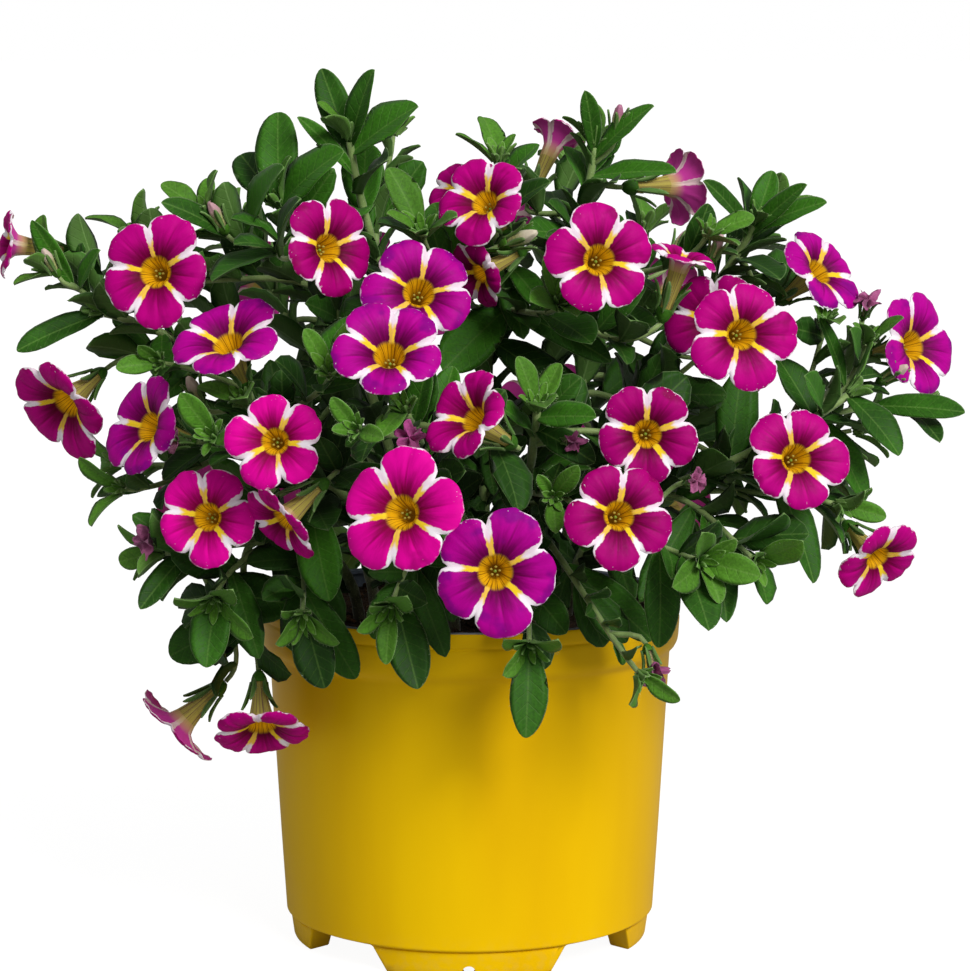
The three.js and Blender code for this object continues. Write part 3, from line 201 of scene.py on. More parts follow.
# Each flower, numbered from 1: its stem and how far along it the shoot leaves, the middle of its mouth, where
# it faces (degrees round from the front towards +X, degrees above level), its turn, its diameter, how deeply
# it is cupped, its tone.
FLOWERS = (
    ("upper_left", 0.72, (-85, -30, 191.5), -12, 12, 29, 33.5, 0.16, Tone.MAGENTA),
    ("front_left", 0.92, (-63.5, -55, 174), -24, 50, 26, 31, 0.28, Tone.PURPLE),
    ("upper_left", 0.86, (-37, -60, 200), 38, 12, 17, 29, 0.16, Tone.CRIMSON),
    ("middle", 0.86, (4.5, -45, 211), -25, 30, 17, 27, 0.22, Tone.MAGENTA),
    ("upper_right", 0.74, (34, -70, 197.5), 12, 10, 60, 31.5, 0.14, Tone.MAGENTA),
    ("top", 0.62, (-13, -58, 188), 8, 24, 5, 32, 0.16, Tone.PURPLE),
    ("middle", 0.7, (3, -42, 192), -52, -20, 30, 21, 0.2, Tone.CRIMSON),
    ("front", 0.95, (-20, -86, 174), 0, 38, 12, 31, 0.3, Tone.PURPLE),
    ("front", 0.9, (2, -90, 158), -44, 28, 48, 26, 0.42, Tone.MAGENTA),
    ("far_right", 0.52, (72, -57, 177), 16, 10, 33, 31.5, 0.14, Tone.MAGENTA),
    ("far_right", 0.74, (67, -30, 178), -18, 8, 20, 29, 0.16, Tone.CRIMSON),
    ("front_right", 0.88, (46, -85, 154), 3, 8, 18, 28.5, 0.14, Tone.CRIMSON),
    ("front_right", 0.7, (38.5, -95, 134.2), 12, 15, 10, 29.5, 0.16, Tone.CRIMSON),
    ("front", 0.7, (-16.5, -103, 136), -20, 13, 48, 34.5, 0.14, Tone.PINK),
    ("front", 0.55, (7, -97, 120), 0, 6, 29, 35, 0.12, Tone.PURPLE),
    ("front_left", 0.72, (-50, -77, 151), -5, 12, 66, 27, 0.16, Tone.PINK),
    ("front_left", 0.58, (-69, -62, 129), -16, 12, 28, 29, 0.16, Tone.PINK),
    ("low_left", 0.5, (-48, -74, 130), -52, -34, 40, 26, 0.2, Tone.MAGENTA),
    ("left", 0.72, (-112, -12, 154), -40, -28, 30, 33.5, 0.28, Tone.MAGENTA),
    ("left", 0.5, (-86, -42, 150.5), -50, 18, 35, 32, 0.22, Tone.PURPLE),
    ("right", 0.62, (87.5, -50, 143), 15, 15, 29, 31, 0.14, Tone.MAGENTA),
    ("far_right", 0.9, (97, -10, 190), 50, 34, 50, 29, 0.2, Tone.PURPLE),
    ("right", 0.9, (124.5, 0, 168.5), 46, 14, 20, 33, 0.2, Tone.PURPLE),
    ("right", 0.8, (114, -15, 110.5), 34, -30, 15, 28, 0.16, Tone.MAGENTA),
    ("upper_right", 0.9, (57, 8, 213), 122, 0, 25, 24, 0.4, Tone.MAGENTA),
    ("upper_right", 0.66, (56.5, -46, 195), 70, 72, 10, 21, 0.3, Tone.MAGENTA),
    ("upper_right", 0.82, (23, 14, 222.5), 128, 60, 40, 18, 0.75, Tone.MAGENTA),
    ("low_left", 0.7, (-56, -50, 70), 8, -52, 30, 29, 0.22, Tone.MAGENTA),
    ("low_left", 0.86, (-80, -27, 66), -80, -42, 20, 29, 0.2, Tone.MAGENTA),
    ("left", 0.97, (-128, 12, 196), -75, 10, 12, 21, 0.4, Tone.MAGENTA),
    ("middle", 0.86, (-1, -6, 212), -24, 38, 30, 22, 0.24, Tone.MAGENTA),
    ("back_left", 0.75, (-20, 90, 172), 172, 16, 20, 31, 0.16, Tone.PURPLE),
    ("back_right", 0.6, (24, 104, 141), 177, 8, 35, 32, 0.14, Tone.MAGENTA),
    ("back_right", 0.86, (60, 76, 176), 150, 18, 10, 30, 0.18, Tone.MAGENTA),
    ("back_left", 0.9, (-64, 78, 180), -150, 20, 50, 30, 0.16, Tone.PINK),
    ("back_left", 0.5, (-84, 46, 118), -124, 10, 30, 31, 0.16, Tone.MAGENTA),
    ("back_right", 0.7, (81, 56, 163), 124, 8, 15, 30, 0.16, Tone.MAGENTA),
    ("back_left", 0.5, (-50, 92, 121), -162, 4, 62, 31, 0.14, Tone.PURPLE),
    ("back_right", 0.45, (62, 86, 110), 156, 0, 42, 30, 0.16, Tone.PINK),
    ("top", 0.72, (-37, 52, 195), 176, 38, 24, 28, 0.2, Tone.MAGENTA),
    ("left", 0.6, (-93, 32, 187), -104, 14, 55, 29, 0.18, Tone.PINK),
    ("back_right", 0.5, (97, 42, 128), 110, -8, 5, 28, 0.2, Tone.MAGENTA),
    ("back_left", 0.4, (-8, 101, 93), 180, -12, 30, 29, 0.18, Tone.MAGENTA),
    ("middle", 0.8, (9, 48, 203), 176, 36, 45, 24, 0.2, Tone.CRIMSON),
)

# Each growing tip: its stem, how far along it the shoot leaves, the tip, where it points, its largest leaves'
# length.
TIPS = (
    ("left", 0.9, (-116, 2, 189), -70, 40, 20),
    ("left", 0.45, (-94, -30, 132), -50, 10, 17),
    ("left", 0.4, (-100, 24, 132), -100, 10, 20),
    ("left", 0.75, (-92, 18, 196), -100, 50, 22),
    ("upper_left", 0.8, (-72, -12, 205), -60, 60, 19),
    ("upper_left", 0.6, (-66, 34, 198), -130, 45, 22),
    ("top", 0.7, (-22, 30, 226), 170, 60, 20),
    ("middle", 0.6, (24, -50, 184), 20, 30, 22),
    ("middle", 0.55, (-12, -46, 202), -10, 45, 24),
    ("upper_right", 0.6, (64, -34, 201), 40, 50, 18),
    ("upper_right", 0.5, (28, 44, 216), 160, 50, 22),
    ("far_right", 0.8, (84, 24, 200), 120, 45, 22),
    ("right", 0.95, (110, -14, 170), 30, 55, 16),
    ("right", 0.86, (127, -6, 153), 86, 0, 13),
    ("right", 0.5, (76, -58, 117), 20, -10, 20),
    ("right", 0.4, (100, -30, 128), 50, -5, 19),
    ("right", 0.6, (110, 20, 142), 90, 10, 20),
    ("front_left", 0.5, (-67, -62, 150), -20, 25, 18),
    ("front_left", 0.8, (-36, -72, 168), 0, 30, 20),
    ("front", 0.8, (-28, -88, 155), -20, 20, 17),
    ("front", 0.4, (-20, -76, 108), -10, -20, 22),
    ("front_right", 0.5, (60, -78, 120), 30, 0, 24),
    ("front_right", 0.4, (44, -86, 92), 30, -25, 15),
    ("front_right", 0.55, (22, -74, 136), 4, 8, 17),
    ("front_right", 0.3, (16, -76, 98), 0, -30, 22),
    ("low_left", 0.6, (-68, -52, 106), -10, -30, 22),
    ("low_left", 0.4, (-44, -64, 104), 0, -30, 22),
    ("back_left", 0.45, (-80, 60, 112), -140, 0, 24),
    ("back_left", 0.7, (-40, 88, 150), -170, 20, 22),
    ("back_left", 0.3, (-34, 84, 98), -165, -25, 22),
    ("back_right", 0.75, (28, 84, 178), 178, 30, 22),
    ("back_right", 0.35, (30, 86, 100), 168, -25, 22),
    ("back_right", 0.55, (86, 66, 128), 140, 0, 24),
    ("right", 0.82, (98, -18, 176), 10, 55, 16),
    ("left", 0.55, (-84, -24, 166), -30, 10, 15),
)

# Large leaves that show from a step away: stem, where they leave it, their tip, their width.
LARGE_LEAVES = (
    ("left", (-104, -5, 178), (-126, -10, 168), 8),
    ("left", (-112, 0, 186), (-122, -4, 204), 6),
    ("left", (-110, 0, 184), (-103, -6, 196), 6),
    ("upper_left", (-66, -12, 200), (-84, -22, 210), 7),
    ("upper_left", (-60, -14, 203), (-50, -32, 220), 13),
    ("upper_left", (-52, -14, 208), (-34, -26, 224), 13),
    ("upper_left", (-56, -12, 206), (-64, 2, 222), 11),
    ("top", (-33, -8, 221), (-41, -4, 246), 9),
    ("top", (-33, -9, 222), (-14, -14, 236), 13),
    ("top", (-32, -8, 216), (-47, -16, 233), 5),
    ("top", (-31, -7, 212), (-22, -30, 222), 12),
    ("top", (-30, -5, 206), (-34, -32, 205), 11),
    ("middle", (9, -19, 206), (22, -32, 216), 8),
    ("upper_right", (35, 0, 222), (32, -8, 240), 6),
    ("upper_right", (35, 0, 221), (51, -8, 236), 7),
    ("upper_right", (35, 0, 216), (57, -14, 218), 8),
    ("upper_right", (33, 0, 206), (40, -28, 216), 10),
    ("far_right", (78, -11, 199), (64, -24, 216), 6),
    ("far_right", (79, -12, 201), (84, -8, 218), 7),
    ("far_right", (79, -12, 200), (98, -20, 210), 7),
    ("far_right", (76, -10, 194), (84, -36, 190), 10),
    ("right", (104, -24, 157), (117, -36, 142), 10),
    ("right", (98, -27, 152), (90, -48, 165), 9),
    ("right", (108, -18, 166), (104, -30, 176), 7),
    ("right", (122, -10, 152), (130, -22, 144), 7),
    ("front_right", (54, -76, 120), (62, -92, 104), 11),
    ("front_right", (16, -76, 98), (15, -84, 74), 10),
    ("front_right", (18, -70, 156), (33, -82, 158), 8),
    ("front_right", (18, -68, 152), (33, -74, 145), 8),
    ("low_left", (-76, -46, 116), (-88, -55, 103), 7),
    ("low_left", (-66, -50, 108), (-70, -60, 88), 11),
    ("middle", (15, -18, 184), (-7, -34, 165), 14),
    ("middle", (16, -20, 188), (28, -36, 172), 11),
    ("middle", (17, -18, 170), (33, -30, 153), 12),
    ("middle", (16, -18, 130), (-8, -38, 142), 6),
    ("middle", (15, -22, 128), (33, -40, 139), 6),
    ("front_right", (36, -40, 103), (49, -58, 95), 10),
    ("low_left", (-34, -40, 128), (-37, -60, 106), 12),
    ("front_left", (-23, -36, 146), (-18, -52, 137), 9),
    ("left", (-47, -12, 174), (-38, -30, 159), 11),
    ("right", (84, -26, 140), (80, -40, 152), 8),
    ("upper_left", (-52, -14, 208), (-53, -4, 234), 12),
    ("right", (82, -34, 137), (93, -49, 109), 10),
    ("right", (62, -34, 122), (69, -58, 100), 9),
    ("right", (112, -12, 152), (137, -20, 152), 8),
    ("top", (-33, -9, 224), (-26, -17, 246), 8),
    ("front_right", (50, -67, 122), (50, -74, 96), 10),
    ("middle", (20, -16, 172), (44, -26, 164), 10),
    ("far_right", (77, -11, 200), (92, -24, 215), 6),
    ("low_left", (-46, -62, 106), (-38, -68, 84), 11),
    ("low_left", (-36, -54, 108), (-30, -60, 85), 10),
    ("front", (-18, -72, 107), (-13, -84, 87), 11),
    ("front", (-20, -66, 114), (-25, -72, 98), 9),
    ("front_right", (17, -58, 112), (26, -64, 98), 9),
    ("right", (96, -26, 150), (85, -20, 167), 10),
    ("right", (104, -22, 162), (94, -26, 183), 6),
    ("right", (100, -24, 148), (109, -26, 128), 9),
    ("left", (-86, -8, 172), (-84, -22, 158), 9),
    ("front", (-10, -60, 145), (-4, -52, 168), 9),
)

# Smaller leaves that cover the soil and fill gaps: stem, where they leave it, their tip, their width.
GAP_LEAVES = (
    ("low_left", (-40, -52, 112), (-47, -58, 92), 9),
    ("low_left", (-56, -50, 110), (-56, -58, 90), 9),
    ("low_left", (-36, -44, 118), (-34, -56, 98), 9),
    ("low_left", (-50, -42, 120), (-47, -34, 98), 8),
    ("front", (-14, -56, 118), (-18, -60, 98), 8),
    ("front", (-10, -52, 122), (-4, -58, 100), 9),
    ("front", (-12, -60, 112), (-6, -66, 92), 8),
    ("front_right", (16, -50, 122), (22, -56, 99), 9),
    ("front_right", (24, -58, 112), (22, -50, 96), 8),
    ("front_right", (26, -60, 108), (36, -62, 94), 9),
    ("front_right", (30, -66, 112), (42, -66, 96), 9),
    ("front_right", (34, -56, 120), (44, -50, 104), 7),
    ("right", (52, -36, 124), (52, -46, 100), 10),
    ("right", (66, -38, 126), (64, -42, 106), 8),
    ("right", (56, -34, 124), (46, -50, 104), 9),
    ("middle", (16, -18, 150), (2, -34, 141), 9),
    ("middle", (10, -14, 140), (8, -30, 124), 8),
    ("front", (-6, -40, 140), (-1, -38, 126), 8),
    ("right", (44, -26, 124), (40, -34, 108), 9),
    ("far_right", (58, -20, 158), (74, -32, 158), 11),
    ("right", (70, -34, 136), (75, -20, 164), 12),
    ("right", (98, -18, 172), (88, -28, 176), 8),
    ("left", (-74, -5, 166), (-85, -12, 155), 7),
    ("front_left", (-46, -38, 150), (-54, -34, 168), 8),
    ("upper_left", (-38, -6, 176), (-45, -18, 182), 8),
    ("middle", (14, -16, 188), (15, -28, 173), 8),
    ("low_left", (-78, -46, 118), (-93, -46, 129), 8),
    ("middle", (5, -8, 120), (14, -20, 108), 8),
    ("middle", (5, -8, 126), (-6, -18, 116), 8),
    ("middle", (5, -8, 146), (-6, -20, 150), 8),
    ("front_left", (-20, -26, 120), (-26, -36, 108), 8),
    ("front_right", (14, -34, 118), (24, -40, 126), 8),
    ("front_right", (14, -30, 126), (22, -34, 142), 8),
    ("front", (-6, -34, 124), (2, -40, 112), 8),
    ("front", (-8, -46, 134), (3, -48, 138), 7),
    ("upper_right", (15, 4, 140), (22, -8, 152), 9),
    ("upper_right", (16, 4, 128), (28, -6, 134), 9),
    ("middle", (5, -8, 116), (16, -2, 127), 8),
    ("middle", (5, -8, 118), (-7, -2, 129), 8),
    ("middle", (5, -8, 130), (-7, -2, 139), 8),
    ("middle", (5, -8, 134), (18, -3, 145), 8),
    ("middle", (5, -8, 128), (16, 2, 138), 8),
    ("middle", (5, -8, 138), (-4, 4, 148), 8),
    ("right", (27, -8, 110), (17, 0, 117), 8),
    ("right", (27, -8, 104), (34, 2, 114), 8),
    ("upper_right", (14, 5, 118), (6, 2, 127), 7),
    ("upper_right", (14, 5, 122), (24, 0, 130), 8),
    ("top", (-5, 8, 118), (3, 4, 128), 8),
    ("top", (-5, 8, 126), (2, 2, 137), 8),
    ("top", (-5, 8, 110), (4, 4, 119), 8),
    ("top", (-28, 6, 199), (-13, 4, 220), 11),
    ("upper_left", (-38, -12, 206), (-37, -16, 219), 8),
)


# ------------------------------------------------------------------ vectors, curves and repeatable noise

def unit(v: Array) -> Array:
    """Vectors at unit length, along the last axis."""
    return v / np.linalg.norm(v, axis=-1, keepdims=True)


def heading(round_deg: float, above_deg: float) -> Array:
    """Direction that turns round from the front (-Y) towards +X and rises above level, in degrees."""
    a, e = math.radians(round_deg), math.radians(above_deg)
    return np.array([math.sin(a) * math.cos(e), -math.cos(a) * math.cos(e), math.sin(e)])


def square(v: Array, axis: Array) -> Array:
    """Part of `v` that stands square to the unit vector `axis`, at unit length."""
    return unit(v - axis * float(v @ axis))


def noise(a: float, b: float, c: float) -> float:
    """Repeatable number from 0 to 1 for three whole numbers: the fraction of a large sine."""
    wave = math.sin(a * 12.9898 + b * 78.233 + c * 37.719) * 43758.5453
    return wave - math.floor(wave)


def spread(low: float, high: float, share: float) -> float:
    """Value a share of the way from low to high."""
    return low + (high - low) * share


def ease(x: Array | float) -> Array:
    """Smooth step from 0 to 1: 3x^2 - 2x^3 of x held between 0 and 1."""
    x = np.clip(x, 0.0, 1.0)
    return x * x * (3 - 2 * x)


def curve_point(curve: Array, t: Array | float) -> Array:
    """Points of a cubic curve with four control points at shares `t`."""
    t = np.asarray(t, float)[..., None]
    s = 1 - t
    return s**3 * curve[0] + 3 * s * s * t * curve[1] + 3 * s * t * t * curve[2] + t**3 * curve[3]


def curve_tangent(curve: Array, t: Array | float) -> Array:
    """Unit directions of a cubic curve at shares `t`."""
    t = np.asarray(t, float)[..., None]
    s = 1 - t
    inner = (s * s - 2 * s * t) * curve[1] + (2 * s * t - t * t) * curve[2]
    return unit(-s * s * curve[0] + inner + t * t * curve[3])


def curve_length(curve: Array) -> float:
    """Length of a cubic curve, from 24 straight steps."""
    points = curve_point(curve, np.arange(25) / 24)
    return float(np.linalg.norm(np.diff(points, axis=0), axis=1).sum())


def curve_points(curve: Array, start: float, spacing: float) -> Array:
    """Points along a curve from the share `start` on, about `spacing` apart."""
    count = math.ceil(curve_length(curve) / spacing)
    shares = np.arange(count + 1) / count
    return curve_point(curve, shares[shares >= start])


def ring_frame(tangent: Array) -> tuple[Array, Array]:
    """Two directions square to `tangent` and to each other; about level shoots the first one points up."""
    first = square(np.array([1.0, 0, 0]) if abs(tangent[2]) > 0.9 else UP, tangent)
    return first, np.cross(tangent, first)


def around(frame: tuple[Array, Array], radius: float, angle: float) -> Array:
    """Offset of `radius` at `angle` in the plane of two directions."""
    return frame[0] * (radius * math.cos(angle)) + frame[1] * (radius * math.sin(angle))


# ------------------------------------------------------------------ free room

def pot_distance(points: Array) -> Array:
    """Distance to the pot or the soil, as if the pot were a plain ring up to its lip."""
    radius = np.hypot(points[:, 0], points[:, 1])
    over = np.maximum(0, points[:, 2] - POT.height)
    outside, inside = radius - POT.lip_radius - POT.lip_air, POT.lip_bore - POT.bore_air - radius
    beside = np.maximum(0, np.maximum(outside, inside))
    to_lip = np.hypot(over, beside)
    return np.where(radius < POT.lip_bore, np.minimum(to_lip, points[:, 2] - POT.soil_level), to_lip)


class Room:
    """Points that stand for the shapes placed so far."""

    def __init__(self, size: int = 120_000) -> None:
        """Makes room for `size` points."""
        self.points = np.zeros((size, 3))
        self.reach = np.zeros(size)
        self.owner = np.zeros(size, int)
        self.count = 0
        self.names: dict[str, int] = {}

    def number(self, owner: str) -> int:
        """Number that stands for an owner's name."""
        return self.names.setdefault(owner, len(self.names))

    def fill(self, points: Array, reach: float, owner: str) -> None:
        """Adds the points of a placed shape."""
        end = self.count + len(points)
        self.points[self.count:end] = points
        self.reach[self.count:end] = reach
        self.owner[self.count:end] = self.number(owner)
        self.count = end

    def air(self, points: Array, reach: float, owner: str, own_share: float = 0.0, free: int = 0) -> float:
        """Smallest air between the points and what stands here.

        Args:
            points: points of the shape to be placed.
            reach: half their spacing and half the shape's thickness.
            owner: name of the piece that the shape belongs to.
            own_share: share of the reach that counts towards pieces of the same owner.
            free: number of the first point that counts towards them.

        Returns:
            The least distance left, below 0 where shapes may touch.
        """
        least = float(pot_distance(points).min()) - reach
        margin = 6.0
        low, high = points.min(0) - margin, points.max(0) + margin
        near = np.all((self.points[:self.count] > low) & (self.points[:self.count] < high), axis=1)
        if not near.any():
            return least
        own = self.owner[:self.count][near] == self.number(owner)
        share = np.where(own, own_share, 1.0)
        distance = np.linalg.norm(points[:, None] - self.points[:self.count][near][None], axis=2)
        gap = distance - (reach + self.reach[:self.count][near]) * share
        if own_share == 0:
            gap[:, own] = np.inf
        gap[:free, own] = np.inf
        return min(least, float(gap.min()))


# ------------------------------------------------------------------ the plan of the plant

@dataclass
class Bloom:
    """One flower: throat, facing, and the two directions of its plane."""

    name: str
    stem: str
    at: float
    throat: Array
    face: Array
    turn: float
    radius: float
    cup: float
    tone: Tone
    seed: int

    @classmethod
    def from_row(cls, name: str, row: Sequence) -> "Bloom":
        """Flower from its row in FLOWERS."""
        stem, at, throat, round_deg, above_deg, turn, diameter, cup, tone = row
        face = heading(round_deg, above_deg)
        return cls(name, stem, at, np.array(throat, float), face, math.radians(turn), diameter / 2, cup, tone,
                   int(name[-2:]) - 1)

    @property
    def right(self) -> Array:
        """Direction to the right for who looks at the flower's face."""
        return unit(np.cross(-self.face, UP))

    @property
    def upper(self) -> Array:
        """Direction up the flower's face."""
        return np.cross(self.right, -self.face)

    @property
    def mouth(self) -> float:
        """Radius of the mouth of the tube."""
        return self.radius * FLOWER.mouth_share

    def place(self, out: Array, angle: Array, rise: Array) -> Array:
        """Points at a distance out of the flower's axis, an angle round it and a height along it."""
        out, angle, rise = np.broadcast_arrays(out, angle, rise)
        across = out * np.cos(angle)
        up = out * np.sin(angle)
        return (self.throat + across[..., None] * self.right + up[..., None] * self.upper
                + rise[..., None] * self.face)

    def rim(self, angle: Array) -> Array:
        """Radius of the rim: full in the middle of a petal, with a notch where two petals meet."""
        petal = np.abs(np.sin(2.5 * (angle - self.turn)))
        number = np.floor((angle - self.turn) / (2 * TO_MIDDLE) + 5).astype(int) % 5
        shortfall = np.array([noise(self.seed, k, 21) for k in range(5)])[number]
        bulge = FLOWER.notch_depth - FLOWER.petal_uneven * shortfall
        return self.radius * (1 - FLOWER.notch_depth + bulge * petal**FLOWER.petal_roundness)

    def rise(self, share: Array, angle: Array) -> Array:
        """Height of the limb: cup times (2s - s^2) of the radius, less a little in each petal's middle."""
        petal = np.abs(np.sin(2.5 * (angle - self.turn)))
        return self.radius * (self.cup * (2 * share - share * share) - 0.07 * share * share * petal)

    def limb(self, share: Array, angle: Array) -> Array:
        """Points of the limb for shares from 0 at the mouth to 1 at the rim."""
        return self.place(self.mouth + (self.rim(angle) - self.mouth) * share, angle, self.rise(share, angle))

    def keep_out(self) -> tuple[Array, Array, Array]:
        """Points over the limb and tube, over the calyx, and before the limb, that keep other pieces away."""
        limb = []
        out = self.mouth
        while out < self.radius + GROWTH.spacing:
            share = min(1.0, (out - self.mouth) / (self.radius - self.mouth))
            count = math.ceil(TURN * out / GROWTH.spacing)
            limb.append(self.limb(np.full(count, share), np.arange(count) * TURN / count))
            out += GROWTH.spacing
        depth = np.arange(1, FLOWER.tube_length, 1.5)
        limb.append(self.place(0 * depth, 0 * depth, -depth))
        out = np.array([0.0] + [self.radius * FLOWER.outlook_share] * 5)
        outlook = [self.place(out, np.array([0.0, *FIFTHS]), before + 0 * out) for before in FLOWER.outlook]
        base = np.array([FLOWER.tube_length + 1, FLOWER.tube_length + FLOWER.calyx_depth])
        share = np.array([0.35, 0.7, 1.0])
        reach, rise = spread(FLOWER.calyx_radius, FLOWER.sepal_reach, share), FLOWER.sepal_length * share
        calyx = [self.place(0 * base, 0 * base, -base)]
        for angle in FIFTHS:
            calyx.append(self.place(reach, angle + TO_MIDDLE + 0 * share, rise - FLOWER.tube_length))
        return np.concatenate(limb), np.concatenate(calyx), np.concatenate(outlook)

    def stalk_end(self) -> Array:
        """Point where the flower stalk ends and the calyx begins."""
        return self.throat - self.face * (FLOWER.tube_length + POT.fit_gap + FLOWER.calyx_depth)


@dataclass
class Leaf:
    """One blade: its rib is an arc that sinks by `bend`, and its halves rise from the rib by `fold`."""

    base: Array
    start: Array
    normal: Array
    length: float
    width: float
    bend: float
    fold: float
    youth: float = 0.3

    @classmethod
    def between(cls, base: Array, tip: Array, upper: Array, width: float, bend: float,
                youth: float = 0.3) -> "Leaf":
        """Leaf from base to tip, with its upper side towards `upper`."""
        chord = tip - base
        reach = float(np.linalg.norm(chord))
        chord = chord / reach
        lift = square(upper, chord)
        half = bend / 2
        start = chord * math.cos(half) + lift * math.sin(half)
        normal = lift * math.cos(half) - chord * math.sin(half)
        return cls(base, start, normal, reach * half / math.sin(half), width, bend, GROWTH.leaf_fold, youth)

    @property
    def side(self) -> Array:
        """Direction across the blade."""
        return np.cross(self.start, self.normal)

    def points(self) -> tuple[Array, int]:
        """Points over the blade, and the number of the first one that is clear of its own shoot."""
        rows = math.ceil(self.length / GROWTH.spacing)
        share = np.arange(1, rows + 1) / rows
        columns = np.ceil(self.width * leaf_outline(share) / GROWTH.spacing).astype(int)
        row = np.repeat(np.arange(rows), columns + 1)
        starts = np.cumsum(columns + 1) - (columns + 1)
        number = np.arange(len(row)) - starts[row]
        across = np.where(columns[row] > 0, 2 * number / np.maximum(columns[row], 1) - 1, 0.0)
        held = np.flatnonzero(share < GROWTH.own_free)
        return self.at(share[row], across), int(starts[held[-1]]) if len(held) else 0

    def at(self, share: Array, across: Array, over: Array | float = 0.0, twist: Array | float = 0.0) -> Array:
        """Points of the blade.

        Args:
            share: share of the way along the rib.
            across: from -1 to 1 over the blade.
            over: distance over the upper side.
            twist: turn of the blade about its rib, in radians.

        Returns:
            The points, along a new last axis.
        """
        share, across, over, twist = (np.asarray(v, float)[..., None] for v in (share, across, over, twist))
        turn = self.bend * share
        rib = self.base + self.start * (self.length * np.sin(turn) / self.bend)
        rib = rib - self.normal * (self.length * (1 - np.cos(turn)) / self.bend)
        normal = self.normal * np.cos(turn) + self.start * np.sin(turn)
        side = self.side * np.cos(twist) + normal * np.sin(twist)
        normal = normal * np.cos(twist) - self.side * np.sin(twist)
        half = across * (self.width / 2) * leaf_outline(share)
        above = np.abs(half) * math.sin(self.fold) + over
        return rib + side * (half * math.cos(self.fold)) + normal * above


def leaf_curve(share: Array | float) -> Array:
    """Half width of a leaf, without its scale: s^taper times (1 - s^belly)^bluntness."""
    share = np.clip(share, 0.0, 1.0)
    return share**GROWTH.leaf_taper * (1 - share**GROWTH.leaf_belly) ** GROWTH.leaf_bluntness


def leaf_outline(share: Array | float) -> Array:
    """Half width of a leaf 2 wide, with a short stalk at its base."""
    taper, belly = GROWTH.leaf_taper, GROWTH.leaf_belly
    widest = (taper / (taper + belly * GROWTH.leaf_bluntness)) ** (1 / belly)
    return np.maximum(GROWTH.leaf_stalk * (1 - share), leaf_curve(share) / leaf_curve(widest))


@dataclass
class Shoot:
    """One shoot: its curve, its stem, and what it ends in."""

    curve: Array
    stem: str
    tip: bool
    leaf: float
    trunk: bool = False
    bloom: Bloom | None = None
    rosette: list[Leaf] = field(default_factory=list)


BENDS = ((0, 0), (0.16, 0), (-0.16, 0), (0, -0.16), (0.3, 0), (-0.3, 0), (0.2, -0.2), (-0.2, -0.2), (0, 0.2),
         (0.2, 0.2), (-0.2, 0.2), (0.45, 0), (-0.45, 0), (0, -0.35), (0.35, -0.35), (-0.35, -0.35))
VARIANTS = ((0, 1), (0.5, 1), (-0.5, 1), (0, 0.84), (0.9, 0.9), (-0.9, 0.9))
SHRINKS = (1, 0.85, 0.7)


@dataclass(frozen=True)
class PlacedRule:
    """How the listed leaves turn and bend, and the room that they keep."""

    up: float
    out: float
    forward: float
    least_bend: float
    seed: int
    youth: float
    reach: float
    own_share: float


LARGE_RULE = PlacedRule(0.5, 0.5, GROWTH.large_forward, 0.25, 7, 0.25, GROWTH.leaf_reach, GROWTH.large_share)
GAP_RULE = PlacedRule(0.4, 0.0, 1.0, 0.2, 8, 0.1, FILL.reach, FILL.own_share)


